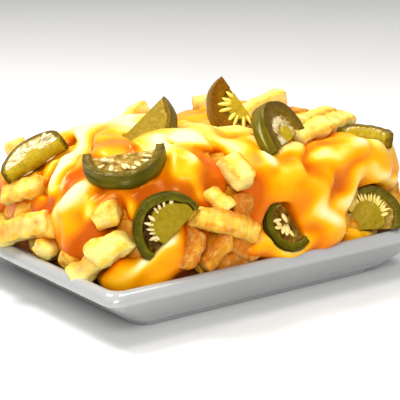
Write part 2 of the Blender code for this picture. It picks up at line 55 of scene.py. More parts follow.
# The plate's edges from the floor's middle out over the lip and back under to the recess:
# half sizes and height, then rings as steps out in X and Y, corner radius and step up.
PLATE_EDGES = (
    ((FLOOR_X, FLOOR_Y, FLOOR_HEIGHT), ((0, 0, 5, 0), (1, 1, 5, 0.3), (2, 2, 5, 1.2))),
    ((LIP_X - THROAT_INSET, LIP_Y - THROAT_INSET, THROAT_HEIGHT),
     ((0, 0, 5, 0), (0.5, 0.5, 5, 0.6), (1.3, 1.3, 5, 1.3), (2.3, 2.3, 5.2, 1.4),
      (3.6, 3.6, 5.5, 1.05), (4.6, 4.6, 5.8, 0.2))),
    ((LIP_X, LIP_Y, LIP_HEIGHT),
     ((-0.3, -0.3, 6, 1.4), (0, 0, 6, 0), (-0.3, -0.3, 6, -0.7), (-1.6, -1.3, 6, -1.6))),
    ((FOOT_X, FOOT_Y, FOOT_HEIGHT),
     ((3.6, 3.0, 7, 1.1), (2.4, 2.0, 7, 0.55), (0.9, 0.8, 7, 0.2), (0.3, 0.3, 7, -0.2),
      (0, 0, 7, -1.3), (-0.4, -0.4, 7, -1.75), (-1.0, -1.0, 7, -1.8))),
    ((FOOT_X - FOOT_WIDTH, FOOT_Y - FOOT_WIDTH, 0),
     ((0.4, 0.4, 5, 0), (0, 0, 5, 0.2), (-0.8, -0.8, 5, 1.2))),
)

# Heap outline --------------------------
DOME = np.array((75.5, 59.5, 47.0))
DOME_BASE = 15.0
PLAN_ROUNDNESS = 0.45
SIDE_ROUNDNESS = 0.55
DOME_LEAN = 0.06
BACK_TAPER = 0.18
CORE_INSET = 6.0
CORE_LEVELS, CORE_SIDES, CORE_RISES = 20, 72, (1, 88)
CORE_FOOT_INSET, CORE_FOOT_RISE = 4.0, 0.6  # where the core stands on the plate's floor
OUTLINE_REACH = 50.0                # millimetres from the middle to the outline, roughly

# Fries ---------------------------------
FRY_SIDE = 8.2
FINE, PLAIN = (28, 1.05), (16, 2.3)  # points round a fry and spacing of its rings
FRY_SLOPE_PAINTED_SHADE = 0.17                    # painted shade: how much deeper a fry's steep sides are painted
FRY_POWERS = (5, 9)                 # how square a fry's section is
FRY_CORNERS = (0.86, 1.1)           # reach of each of its corners
FRY_TALL = (0.88, 1.05)             # its height over its width
END_RINGS = (0.35, 1.0)             # how far in from an end its first rings are
END_BLUNT = (0.16, 0.5)             # how much its ends narrow, and over how much
END_SLANT = (0.16, 2.0)             # how much its ends slant, and over how much
EDGE_REACH = (1.06, 0.2)            # where the section counts as an edge, and over how much
CRUST = (0.26, 0.13)                # height of the crust's broad and fine bumps
# Size and length of a wavy fry's two swellings, its twist, and its shifts out and across.
FRY_WAVES = ((0.05, 3.7), (0.04, 2.1), (0.16, 13), (0.55, 5.5), (0.7, 7.5))
GOLDEN_ANGLE = 137.5
GAP_DEPTH = (2.5, 5.0)              # where painted shade in the gaps starts, and over how much
FILLER_SEED = 5
FILLER_LAYERS = (                   # places tried, spacing, out range, rise range
    (260, 10.0, (-6.0, -4.5), (4, 84)),
    (600, 9.0, (-3.6, -1.2), (6, 82)),
)
FILLER_LENGTHS, FILLER_SIDES = (18.0, 42.0), (0.82, 1.08)
FILLER_BENDS, FILLER_WAVES, FILLER_TONES = (-0.5, 1.0), (0.4, 1.0), (0.05, 0.6)
DEEPEST_FRY = -5.5
LOWEST_FRY = 11.0
SINK_STEP = 1.5                     # how a fry in the way of something is pushed in
# Room that a filler keeps from shown fries and slices, and over the plate's lip, inside
# its throat and inside its wall, as shares of the fry's side.
FRY_ROOM, SLICE_ROOM = 0.9, 0.42
LIP_ROOM, THROAT_ROOM, WALL_ROOM = 0.6, 0.55, 1.1

# Shown fries: two ends as (bearing, rise, out), side scale, bend, waviness, tone.
# Tone is 0 for a pale fry and 1 for a deep golden one.
FRIES = {
    "long_left": ((165, 11, 9), (191, 25, 0), 1.1, -1.0, 0.6, -0.12),
    "left_chunk": ((156, 26, 0), (178, 36, 0), 1.0, 0.5, 0.6, 0.1),
    "left_nub": ((168, 22, 0), (177, 29, -4), 0.8, 0.0, 0.3, 0.3),
    "left_cross": ((185, 21, 1), (195, 22, -2), 1.1, 0.0, 0.3, 0.1),
    "cube": ((192, 11, 4), (189, 15, -9), 1.1, 0.0, 0.3, -0.05),
    "cube_low": ((205, 9, 2), (201, 13, -9), 1.0, 0.0, 0.3, 0.3),
    "wavy_upper": ((224, 21, 3), (216, 12, 3), 1.25, 1.0, 1.6, -0.12),
    "wavy_lower": ((220, 16, 3), (210, 5, 5), 1.15, -1.0, 1.6, -0.12),
    "ring_end": ((219, 26, 5), (214, 42, -11), 1.15, 0.0, 0.3, 0.1),
    "top_tip": ((57, 56, 7), (58, 56, -4), 0.9, 0.0, 0.5, -0.15),
    "top_long": ((354, 73, -2), (356, 56, 7), 1.1, 1.0, 0.8, -0.2),
    "right_long": ((291, 48, 2), (325, 43, 5), 1.0, 1.0, 1.1, -0.12),
    "right_back": ((303, 53, 3), (329, 47, 4), 0.9, 0.0, 0.9, 0.0),
    "behind_high": ((328, 60, 1), (312, 55, 3), 1.05, 0.0, 0.8, 0.5),
    "right_edge": ((319, 28, 3), (323, 9, 5), 1.0, 0.0, 0.5, 0.3),
    "chunk": ((253, 46, 3), (257, 36, 5), 1.05, 0.0, 0.6, -0.08),
    "centre_end": ((245, 36, 0), (250, 28, 2), 0.95, 0.0, 1.0, 0.0),
    "cross": ((240, 27, 4), (258, 18.5, 3), 0.95, 2.0, 1.0, 0.25),
    "steep_left": ((242, 22, 1.5), (238, 9, 1), 0.9, 1.2, 0.8, 0.8),
    "steep_right": ((250, 18, 1.5), (243, 8, 1), 1.0, -1.2, 0.8, 0.65),
    "block": ((252, 18, -1), (260, 10, -1.5), 1.1, 0.0, 0.6, 1.15),
    "low": ((245, 7.5, -1.5), (261, 8.5, -1.5), 0.9, 0.0, 0.6, 1.0),
    "left_tip": ((138, 37, 8), (139, 35, -3), 0.9, 0.0, 0.5, -0.15),
    "top_left": ((112, 58, -2), (92, 60, 6), 0.9, 0.0, 0.5, -0.2),
    "behind_cross": ((258, 34, -2), (256, 23, -2), 1.1, 0.0, 0.5, 1.15),
    "right_over": ((6, 13, 9), (20, 34, -3), 1.05, 0.0, 0.5, 0.1),
}

# Sauce pours: points as (bearing, rise), half width and thickness over the fries.
POURS = {
    "drape_top": (((130, 49), (123, 54), (108, 60), (180, 73)), 8, 2.5),
    "drape_ridge": (((147, 60), (172, 55), (185, 46), (188, 36)), 4.5, 2.6),
    "drape_side": (((150, 67), (178, 63), (200, 56), (204, 52)), 9, 2.0),
    "drape_under": (((199, 46), (197, 40), (195, 33)), 6, 0.4),
    "left_under": (((167, 51), (171, 40), (159, 29)), 6, 1.0),
    "left_low": (((159, 22), (174, 29), (187, 29)), 5, 0.6),
    "fold": (((211, 38), (203, 33), (197, 28), (200, 18)), 8, 2.0),
    "fold_low": (((210, 25), (212, 18), (210, 12)), 8, 1.4),
    "ring_fold": (((213, 28), (215, 32), (218, 35), (222, 35), (226, 29)), 4.5, 1.8),
    "under_slice": (((219, 36), (232, 35), (242, 32)), 8, 1.2),
    "centre_top": (((222, 56), (224, 63), (237, 62), (243, 57)), 7, 5.0),
    "centre": (((226, 50), (236, 44), (241, 34)), 10, 1.2),
    "centre_side": (((246, 47), (248, 38)), 6, 0.4),
    "centre_lobe": (((240, 52), (241, 42), (243, 34)), 5, 2.6),
    "band": (((241, 67), (255, 63), (260, 54), (261, 47), (260, 41)), 5.5, 4.5),
    "front_pool": (((236, 18), (233, 14), (229, 10), (222, 3)), 7, 7.0),
    "front_pool_edge": (((237, 13), (237, 8), (231, 4)), 7, 6.0),
    "front_under": (((242, 24), (252, 21), (259, 14)), 9, 0.2),
    "strip": (((267, 56), (268, 47), (270, 40)), 5.5, 2.8),
    "right_link": (((246, 66), (262, 60)), 8, 1.6),
    "dome": (((269, 40), (277, 36), (283, 29), (285, 19), (285.5, 12)), 11.5, 2.0),
    "dome_left": (((262, 37), (264, 28), (264, 20)), 7, 1.0),
    "plateau": (((296, 42), (307, 36), (318, 28)), 10, 1.4),
    "plateau_low": (((288, 38), (292, 33), (299, 37), (310, 35), (319, 31)), 7, 1.4),
    "arch": (((290, 19), (292, 23), (296, 27.5), (302, 29), (308, 26), (314, 20)), 4.2, 3.2),
    "rim_pool": (((298, 3), (312, 4), (322, 6)), 5, 3.5),
    "coated_fry": (((258, 9), (268, 11), (278, 8)), 5.5, 6.5),
    "summit": (((300, 84), (60, 80), (64, 62)), 12, 1.2),
    "summit_front": (((222, 72), (238, 68)), 8, 1.0),
    "summit_left": (((180, 73), (120, 80), (100, 64)), 9, 1.8),
    "summit_right": (((285, 56), (320, 64), (345, 50)), 8, 1.4),
    "side_high": (((345, 50), (352, 40), (350, 28)), 11, 1.8),
    "side_low": (((350, 28), (356, 18), (350, 10)), 8, 1.5),
    "back_right": (((40, 78), (24, 62), (30, 46), (34, 32), (28, 20)), 10, 1.8),
    "back_middle": (((64, 62), (66, 48), (68, 30), (70, 16)), 11, 1.8),
    "back_left": (((104, 57), (112, 42), (116, 30), (112, 22)), 9, 1.8),
    "back_link": (((30, 46), (52, 46), (68, 42)), 8, 1.5),
    "left_back": (((140, 55), (148, 40), (146, 24)), 9, 1.5),
    "lumps": (((273, 46), (283, 46)), 6, 2.6),
    "crest": (((200, 78), (277, 82), (272, 64)), 9, 0.8),
}
# Smooth swells, where the sauce hides the fries: points, half width, height over the
# heap's outline.
SWELLS = {
    "dome": (((268, 39), (275, 34), (281, 26), (285, 18), (285, 11)), 14, 6.0),
    "plateau": (((291, 36), (303, 36), (311, 32), (318, 28)), 14, 6.2),
    "left_dome": (((172, 66), (198, 58), (206, 51)), 11, 5.5),
    "lobe": (((226, 55), (234, 52), (240, 43)), 11, 5.0),
    "left_sheet": (((206, 36), (204, 28), (206, 20)), 10, 4.0),
}
SWELL_BLEND = 3.0
SWELL_FOOT = 4.0                    # how far below the outline a swell's rim runs out
# Ridges and, with a negative height, creases on the pours: points, half width, height.
FOLDS = {
    "dome_crease": (((281, 41), (286, 37), (290, 31), (291, 28)), 1.8, -1.8),
    "dome_lip": (((279, 10), (286, 8), (294, 9)), 4.0, 0.6),
    "arch": (((291, 21), (293, 24), (297, 27.5), (302, 28.5), (308, 25), (313, 20)), 2.4, 1.8),
    "plateau_ridge": (((291, 42), (301, 38)), 2.2, 1.4),
    "plateau_valley": (((300, 48), (290, 47), (286, 44)), 4.0, -1.2),
    "drape_hole": (((179, 54), (173, 60)), 2.0, -3.0),
    "fold_edge": (((210, 36), (203, 31), (195, 27)), 3.5, 1.4),
    "ring_lip": (((212, 27), (214, 33), (219, 37), (225, 34), (227, 27)), 2.4, 2.4),
    "centre_valley": (((248, 44), (248, 35)), 3.2, -2.2),
    "lobe_low": (((242, 38), (244, 32)), 3.0, 2.0),
    "lobe_high": (((240, 48), (241, 45)), 3.0, 1.6),
    "strip_crease": (((276, 42), (268, 38)), 2.4, -1.4),
    "pool_ridge": (((236, 19), (233, 16), (229, 13), (226, 10), (222, 5)), 2.4, 2.4),
}
# Painted highlights (negative, paler) and painted shade (positive, deeper) along stretches of the
# sauce: points, half width, shift.
PAINTED_LIGHT_AND_SHADE = {
    "drape_top": (((129, 50), (121, 57), (100, 62), (117, 60)), 9, -0.42),
    "drape_crest": (((106, 59), (140, 70), (180, 74)), 7, -0.34),
    "tail": (((142, 61), (172, 56), (185, 47), (188, 37)), 4.0, -0.36),
    "groove": (((185, 53), (170, 61)), 3.0, 0.16),
    "dome_front": (((194, 50), (206, 54), (214, 54)), 6, 0.10),
    "fold": (((210, 34), (203, 32), (196, 29), (199, 23)), 6, -0.36),
    "orange_low": (((207, 18), (216, 22), (213, 13)), 5, 0.14),
    "left_under": (((189, 34), (197, 41), (210, 44)), 6, 0.22),
    "ring": (((213, 28), (217, 33), (221, 34), (225, 30)), 2.2, -0.16),
    "lobe": (((226, 50), (230, 56), (238, 58)), 6, -0.42),
    "lobe_low": (((214, 37), (225, 34), (233, 36)), 5, 0.26),
    "centre_deep": (((248, 51), (247, 43), (248, 37)), 3.5, 0.16),
    "crest": (((200, 78), (277, 82), (271, 65)), 9, -0.18),
    "band": (((240, 62), (252, 59), (258, 51), (259, 43)), 5, -0.18),
    "drip_high": (((241, 47), (239, 42)), 1.8, -0.18),
    "drip_low": (((241, 38), (242, 34)), 1.8, -0.20),
    "behind_band": (((268, 61), (264, 44), (262, 34)), 3.0, 0.16),
    "pool": (((236, 14), (227, 6)), 8, -0.10),
    "dome": (((267, 36), (276, 33), (281, 24)), 9, -0.07),
    "pool_ridge": (((235, 18), (233, 16), (229, 13), (226, 10), (222, 5)), 1.8, -0.22),
    "arch": (((291, 19), (292, 23), (297, 27), (302, 28.5), (308, 25), (313, 20)), 2.6, -0.26),
    "strip": (((267, 54), (268, 47), (269, 41)), 2.2, -0.26),
    "lumps": (((274, 48), (282, 46)), 4.0, -0.14),
    "valley": (((284, 45), (293, 44), (296, 41)), 3.0, 0.18),
    "under_dome": (((262, 30), (266, 24)), 5.0, 0.12),
    "dome_light": (((280, 23), (287, 16)), 3.0, -0.2),
    "plateau": (((290, 38), (299, 36), (311, 31)), 8.0, -0.10),
    "plateau_light": (((288, 40), (294, 39), (303, 38)), 2.4, -0.16),
    "dome_foot": (((284, 20), (287, 11)), 8, -0.16),
    "dome_glint": (((283, 19), (286, 15)), 2.5, -0.12),
}
SLOPE_PAINTED_SHADE = (0.65, 0.15)          # painted shade by slope: upward share of a level spot, deepening on a steep one
MAP_BEARINGS, MAP_RISES = 720, 260
MAP_LOWEST = -35
PATH_STEPS = 14                     # points along each stretch of a path
WARP, WARP_WIDTH = 1.0, 18.0        # how far and how widely the pours' edges wander
WARP_SEEDS = (31, 32, 33)
BASE_THICK, POUR_FALL = 0.9, 1.2    # least thickness, and how fast a pour thins sideways
BEAD, BEAD_INSET, BEAD_WIDTH = 1.0, 2.6, 1.8
FLOW, FLOW_WIDTH = 0.35, 12.0
SAUCE_TOP = 80.0
VOXEL = 0.97
GRID_BOX = ((-86, -68, 2), (86, 68, SAUCE_TOP + 12))
RELAX_STEPS, RELAX_ROUNDS = (0.55, -0.57), 4
SCRAP_FACES = 400                   # a loose shell with fewer faces is left out
HOLLOW_SHADE_BLUR = 3.0                    # how widely a place's hollows are judged for their painted shade
DRAPE_BLUR = 2.8                    # how far the sauce smooths the fries under it
SAUCE_DEPTH = 3.5                   # how deep it reaches below the fries' surface
EDGE_ROUND = 2.2                    # rounding of the sauce's edges
SLICE_BEAD, SLICE_GAP = 1.6, 0.3    # rounding where the sauce meets a slice, and the gap
FAR_AWAY = 5.0                      # distance given to places that no sauce can reach
FIELD_BLUR = 0.8                    # in grid steps
COVER = 1.2                         # least thickness over a fry inside a pour

# Half slices: place, facing (bearing, elevation), roll, radius, cut below the centre as a
# share of the radius, and how far the sauce keeps clear of the face.
SLICES = {
    "left_end": ((166, 42, 4), (176, 57), 290, 14.5, 0.0, 2.5),
    "left_middle": ((218, 45, 5), (219, 64), 162, 15.5, 0.1, 2.5),
    "front": ((234, 23, 3), (244, 5), 315, 13.8, 0.15, 2.5),
    "standing": ((194, 69, 4), (203, 37), 121, 15.5, 0.0, 0.3),
    "crown": ((325, 73, 6), (253, 26), 241, 14.5, 0.0, 5.0),
    "high": ((282, 50, 5), (292, 32), 350, 14.5, 0.2, 1.5),
    "right_flat": ((311, 37, 5), (318, 84), 85, 12.2, 0.0, 2.5),
    "right_front": ((273, 19.3, 0), (261, 24), 246, 11.2, 0.2, 1.6),
    "right_rim": ((305.2, 11, -1), (237, 15), 359, 13.2, 0.4, 1.5),
    "back_high": ((48, 21, 3), (50, 14), 40, 15.0, 0.1, 2.5),
    "back_low": ((88, 26, 4), (84, 14), 200, 15.0, 0.1, 2.5),
    "side_back": ((8, 24, 3), (6, 14), 320, 14.5, 0.1, 2.5),
}
# Their looks: placenta's share of the radius, wall, chamber depth; shades from 0 to 1 of
# skin and wall (green to brown), chamber (dark to cream), placenta (olive to yellow) and
# teeth (cream to yellow); then teeth round the placenta (count, length, half width) and
# loose seeds (count, first and last angle, share of the radius), and how far the placenta
# is off the middle towards one end of the cut, as a share of its own radius.
LOOKS = {
    "left_end": (0.30, 1.6, 0.5, 0.35, 0.86, 0.8, 0.05, (19, 4.6, 0.35), (2, 25, 50, 0.74), 0),
    "left_middle": (0.0, 3.0, 2.6, 0.3, 0.56, 0.5, 0.1, (0, 0, 0), (10, 12, 168, 0.56), 0),
    "front": (0.6, 2.8, 2.4, 0.05, 0.02, 0.34, 0.05, (12, 2.8, 0.7), (0, 0, 0, 0), 0.3),
    "standing": (0.86, 1.3, 0.25, 0.5, 0.4, 0.3, 0.4, (0, 0, 0), (0, 0, 0, 0), 0),
    "crown": (0.42, 5.4, 0.8, 1.0, 0.3, 1.0, 0.9, (8, 4.6, 0.85), (0, 0, 0, 0), 0),
    "high": (0.2, 4.6, 3.0, 0.45, 0.8, 1.0, 0.0, (0, 0, 0), (10, 25, 155, 0.38), 0),
    "right_flat": (0.52, 3.0, 1.2, 0.5, 0.8, 0.7, 0.3, (9, 1.4, 0.4), (0, 0, 0, 0), 0),
    "right_front": (0.0, 2.6, 2.2, 0.1, 0.34, 0.4, 0.35, (0, 0, 0), (8, 20, 160, 0.36), 0),
    "right_rim": (0.56, 3.1, 1.0, 0.15, 0.5, 0.42, 0.6, (22, 3.0, 0.55), (0, 0, 0, 0), -0.25),
    "back_high": (0.58, 2.8, 2.0, 0.1, 0.1, 0.5, 0.2, (12, 1.9, 0.5), (0, 0, 0, 0), 0),
    "back_low": (0.3, 3.0, 2.4, 0.3, 0.4, 0.5, 0.2, (0, 0, 0), (10, 20, 160, 0.52), 0),
    "side_back": (0.5, 3.4, 1.6, 0.6, 0.6, 0.8, 0.5, (10, 2.6, 0.5), (2, 60, 90, 0.7), 0),
}
Look = namedtuple("Look", "core wall depth brown chamber placenta tooth teeth seeds shift")
SLICE_THICK = 6.5
SLICE_STEPS = 64
SLICE_RIM = ((0.12, 0.1), (0.0, 0.5), (-0.1, 1.3), (-0.2, SLICE_THICK / 2))  # inset, drop
SKIN_ROWS = 3                       # rows of faces round the rim that are skin
SKIN_INSET = 0.3
SLICE_RELIEF = 0.07                 # unevenness of the cut face
SLICE_WAVES = ((2, 0.022), (5, 0.014), (9, 0.006))  # waves round the arc and their size
BARE_SHARE = 0.3                    # middle of a slice that has lost its placenta
SLOPE_WIDTH = 0.9                   # how wide the chamber's sides are
TOOTH_LENGTHS, TOOTH_WIDTHS = (0.6, 1.2), (0.8, 1.2)
TOOTH_ROOT = 0.9                    # how far a tooth reaches into the placenta
SEED_HALF, SEED_SIZES = (2.1, 0.9, 0.6), (0.85, 1.15)
# How freely teeth and seeds turn, and how much wider their outer ends are.
TOOTH_LOOSE, TOOTH_TAPER = 0.12, -0.3
SEED_LOOSE, SEED_TAPER = 0.5, 0.45
GRAIN_STATIONS = (0.02, 0.12, 0.3, 0.5, 0.7, 0.86, 0.97)

# Stage, in metres ----------------------
FLOOR_HALF = 4.0
LIGHT_TARGET = (0, 0, 0.03)
SKY_LIGHT = 0.4
FLOOR_DROP = 0.0002                 # keeps the floor clear of the plate's foot
# Lights: azimuth, elevation, distance, size, power and colour.
LIGHTS = {
    "key": (-140, 62, 0.9, 0.3, 9, (1.0, 0.98, 0.94)),
    "top": (60, 72, 1.2, 0.6, 7, (1.0, 0.98, 0.94)),
    "fill": (-38, 27, 1.0, 0.4, 8, (1.0, 0.99, 0.96)),
}


# Noise ---------------------------------

class Ripple:
    """Smooth seeded noise about as wide as `scale`: sine waves in random directions."""

    def __init__(self, seed, scale, waves=16):
        draw = np.random.default_rng(seed)
        ways = draw.normal(size=(waves, 3))
        ways /= np.linalg.norm(ways, axis=1, keepdims=True)
        self.ways = ways * draw.uniform(0.6, 1.5, (waves, 1)) * 2 * math.pi / scale
        self.shifts = draw.uniform(0, 2 * math.pi, waves)

    def __call__(self, points):
        waves = np.sin(points @ self.ways.T + self.shifts)
        return waves.sum(axis=-1) / math.sqrt(len(self.shifts) / 2)


# Heap outline --------------------------

def lean(x, y):
    return 1 + DOME_LEAN * (x / DOME[0] - y / DOME[1]) / 1.4


def taper(y, rise):
    """Share of its full width that the heap keeps at a height, on its back half."""
    return np.where(y > 0, 1 - BACK_TAPER * np.clip(rise / DOME[2], 0, 1.3), 1)


def outline_scale(x, y, z):
    """The superellipsoid's own scale at a point: 1 on its surface."""
    plan = np.abs(x / DOME[0]) ** (2 / PLAN_ROUNDNESS) + np.abs(y / DOME[1]) ** (2 / PLAN_ROUNDNESS)
    side = plan ** (PLAN_ROUNDNESS / SIDE_ROUNDNESS) + np.abs(z / DOME[2]) ** (2 / SIDE_ROUNDNESS)
    return side ** (SIDE_ROUNDNESS / 2)


def dome_scale(points):
    """1 on the heap's outline, less inside and more outside."""
    x, y = points[..., 0], points[..., 1]
    z = (points[..., 2] - DOME_BASE) / lean(x, y)
    return outline_scale(x, y / taper(y, z), z)


def dome_normal(points, step=0.05):
    slope = np.stack([dome_scale(points + step * axis) - dome_scale(points - step * axis)
                      for axis in np.eye(3)], axis=-1)
    return slope / np.linalg.norm(slope, axis=-1, keepdims=True)


def direction(bearing, elevation):
    """Unit vectors at two angles in degrees."""
    bearing, elevation = np.radians(bearing), np.radians(elevation)
    return np.stack([np.cos(bearing) * np.cos(elevation), np.sin(bearing) * np.cos(elevation),
                     np.sin(elevation)], axis=-1)


def dome(bearing, rise, out=0.0):
    """Points of the heap's outline at two angles, moved out along the normal."""
    ray = np.moveaxis(direction(bearing, rise) * DOME, -1, 0)
    x, y, z = ray / outline_scale(*ray)
    y = y * taper(y, z)
    points = np.stack([x, y, DOME_BASE + z * lean(x, y)], axis=-1)
    return points + dome_normal(points) * np.asarray(out)[..., None]


def settle(point, out):
    """Move a point until it lies at a distance from the outline."""
    centre = np.array((0, 0, DOME_BASE))
    for _ in range(4):
        point = centre + (point - centre) / dome_scale(point)
        point = point + dome_normal(point) * out
    return point


# Meshes --------------------------------

def add_object(name, data):
    obj = bpy.data.objects.new(name, data)
    bpy.context.scene.collection.objects.link(obj)
    return obj


def new_piece(name, points, faces, mats):
    """A mesh object in metres from points in millimetres, riding on the plate's body."""
    mesh = bpy.data.meshes.new(name)
    mesh.from_pydata((points * MM).tolist(), [], faces)
    for mat in mats:
        mesh.materials.append(mat)
    mesh.shade_smooth()
    obj = add_object(name, mesh)
    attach(obj, "root")
    return obj


def add_values(mesh, name, values):
    layer = mesh.attributes.new(name, "FLOAT", "POINT")
    layer.data.foreach_set("value", np.asarray(values, dtype=np.float32))


def turn_outwards(obj):
    bm = bmesh.new()
    bm.from_mesh(obj.data)
    bmesh.ops.recalc_face_normals(bm, faces=bm.faces)
    bm.to_mesh(obj.data)
    bm.free()


def strip(lines):
    """Faces between neighbouring lines of point numbers; a number met twice counts once."""
    quads = np.stack([lines[:-1, :-1], lines[:-1, 1:], lines[1:, 1:], lines[1:, :-1]], axis=-1)
    return [tuple(dict.fromkeys(quad)) for quad in quads.reshape(-1, 4).tolist()]


def loft(rings):
    """Points and faces of a closed stack of equal rings, with a fan at both ends."""
    rings = np.asarray(rings)
    levels, count = rings.shape[:2]
    first, last = (np.full((1, count), levels * count + end) for end in (0, 1))
    lines = np.concatenate([first, np.arange(levels * count).reshape(levels, count), last])
    points = np.concatenate([rings.reshape(-1, 3), rings[[0, -1]].mean(axis=1)])
    return points, strip(np.column_stack([lines, lines[:, 0]]))


def joined(parts):
    """Points and faces of several meshes as one."""
    points, faces = [], []
    count = 0
    for part, part_faces in parts:
        points.append(part)
        faces += [tuple(number + count for number in face) for face in part_faces]
        count += len(part)
    return np.concatenate(points), faces


# Node materials ------------------------

class Nodes:
    """Short calls for wiring one material's nodes."""

    def __init__(self, name):
        self.mat = bpy.data.materials.new(name)
        self.mat.use_nodes = True
        self.tree = self.mat.node_tree
        self.shader = self.tree.nodes["Principled BSDF"]
        self.coords = self.tree.nodes.new("ShaderNodeTexCoord").outputs["Object"]

    def feed(self, socket, value):
        """Link a socket to another one, or set its own number, vector or colour."""
        if isinstance(value, bpy.types.NodeSocket):
            self.tree.links.new(value, socket)
        elif socket.type == "RGBA":
            socket.default_value = (*value, 1.0)
        else:
            socket.default_value = value

    def node(self, kind, inputs, **settings):
        node = self.tree.nodes.new("ShaderNode" + kind)
        for name, value in settings.items():
            setattr(node, name, value)
        for name, value in inputs.items():
            self.feed(node.inputs[name], value)
        return node

    def noise(self, scale, detail=3.0, rough=0.5):
        inputs = {"Vector": self.coords, "Scale": scale, "Detail": detail, "Roughness": rough}
        return self.node("TexNoise", inputs).outputs["Fac"]

    def ramp(self, value, *stops):
        node = self.node("ValToRGB", {"Fac": value})
        elements = node.color_ramp.elements
        while len(elements) < len(stops):
            elements.new(0.5)
        for element, (position, colour) in zip(elements, stops):
            element.position = position
            element.color = (*colour, 1.0)
        return node.outputs["Color"]

    def mix(self, share, first, second):
        inputs = {0: share, 6: first, 7: second}
        return self.node("Mix", inputs, data_type="RGBA").outputs[2]

    def maths(self, operation, first, second):
        return self.node("Math", {0: first, 1: second}, operation=operation).outputs[0]

    def spread(self, value, *ends):
        """A value moved from one range to another: ends of the first, then the second."""
        return self.node("MapRange", dict(enumerate((value, *ends)))).outputs[0]

    def patches(self, scale, detail, low, high, levels=(0.3, 0.7), rough=0.5):
        """Noise that runs from `low` to `high` between two levels."""
        return self.spread(self.noise(scale, detail, rough), *levels, low, high)

    def attribute(self, name):
        return self.node("Attribute", {}, attribute_name=name).outputs["Fac"]

    def bump(self, height, strength, distance):
        inputs = {"Strength": strength, "Distance": distance, "Height": height}
        self.set(Normal=self.node("Bump", inputs).outputs["Normal"])

    def set(self, **values):
        for name, value in values.items():
            self.feed(self.shader.inputs[name.replace("_", " ")], value)


def fry_material():
    """Pale fried potato, deeper gold where its tone says and along edges, with painted shade on
    steep sides, in hollows and down in gaps.
    """
    n = Nodes("fried_potato")
    shade = n.maths("ADD", n.attribute("tone"), n.patches(210, 5, -0.26, 0.26, rough=0.6))
    shade = n.maths("ADD", shade, n.maths("MULTIPLY", n.attribute("edge"), 0.4))
    body = n.ramp(shade, (0.05, (0.79, 0.65, 0.19)), (0.3, (0.78, 0.53, 0.06)),
                  (0.65, (0.66, 0.28, 0.005)), (1.0, (0.46, 0.12, 0.001)))
    specks = n.patches(900, 2, 0.0, 0.3, (0.55, 0.72))
    body = n.mix(specks, body, (0.54, 0.22, 0.006))
    crumbs = n.patches(480, 5, 0.0, 0.3, (0.46, 0.68), 0.6)
    body = n.mix(crumbs, body, (0.82, 0.68, 0.26))
    # Painted shade: darker orange-brown in the hollows among fries and sauce.
    painted_hollow_shade = n.spread(n.attribute("hollow_painted_shade"), 0.42, 0.72, 0.0, 0.95)
    body = n.mix(painted_hollow_shade, body, (0.50, 0.16, 0.002))
    n.bump(n.noise(560, 5, 0.65), 1.0, 0.0007)
    # Painted shade: dark brown down in the gaps below the outline and on the core.
    n.set(Base_Color=n.mix(n.attribute("painted_gap_shade"), body, (0.30, 0.075, 0.002)),
          Roughness=n.patches(260, 2, 0.36, 0.62),
          Subsurface_Weight=0.1, Subsurface_Radius=(1.0, 0.5, 0.12), Subsurface_Scale=0.0015,
          Specular_IOR_Level=0.3, Specular_Tint=(1.0, 0.8, 0.4))
    return n.mat


def cheese_material():
    """Glossy sauce, from cream on the crests (a painted highlight) to dark orange down in the folds
    (painted shade).
    """
    n = Nodes("cheese_sauce_gloss")
    # The sauce's shade value holds painted highlights and painted shade.
    tint = n.maths("ADD", n.attribute("shade"), n.patches(38, 3, -0.05, 0.05))
    colour = n.ramp(tint, (0.08, (0.82, 0.70, 0.38)), (0.24, (0.80, 0.55, 0.12)),
                    (0.35, (0.78, 0.39, 0.006)), (0.45, (0.75, 0.29, 0.0)),
                    (0.55, (0.67, 0.17, 0.0)), (0.70, (0.48, 0.08, 0.0)))
    n.bump(n.noise(130, 2, 0.4), 0.08, 0.0008)
    n.set(Base_Color=colour, Roughness=n.patches(60, 2, 0.2, 0.32),
          Subsurface_Weight=0.15, Subsurface_Radius=(1.0, 0.35, 0.04), Subsurface_Scale=0.0025,
          Specular_IOR_Level=0.22, Specular_Tint=(0.9, 1.0, 0.4))
    return n.mat


def skin_material():
    n = Nodes("pepper_skin")
    patch = n.maths("ADD", n.attribute("brown"), n.patches(120, 3, -0.2, 0.2))
    colour = n.ramp(patch, (0.0, (0.028, 0.030, 0.001)), (0.4, (0.090, 0.072, 0.001)),
                    (0.7, (0.17, 0.11, 0.001)), (1.0, (0.18, 0.08, 0.001)))
    n.bump(n.noise(300, 2), 0.2, 0.0005)
    n.set(Base_Color=colour, Roughness=n.patches(200, 2, 0.24, 0.4),
          Specular_IOR_Level=0.25, Specular_Tint=(0.9, 0.85, 0.3),
          Coat_Weight=0.05, Coat_Roughness=0.1)
    return n.mat


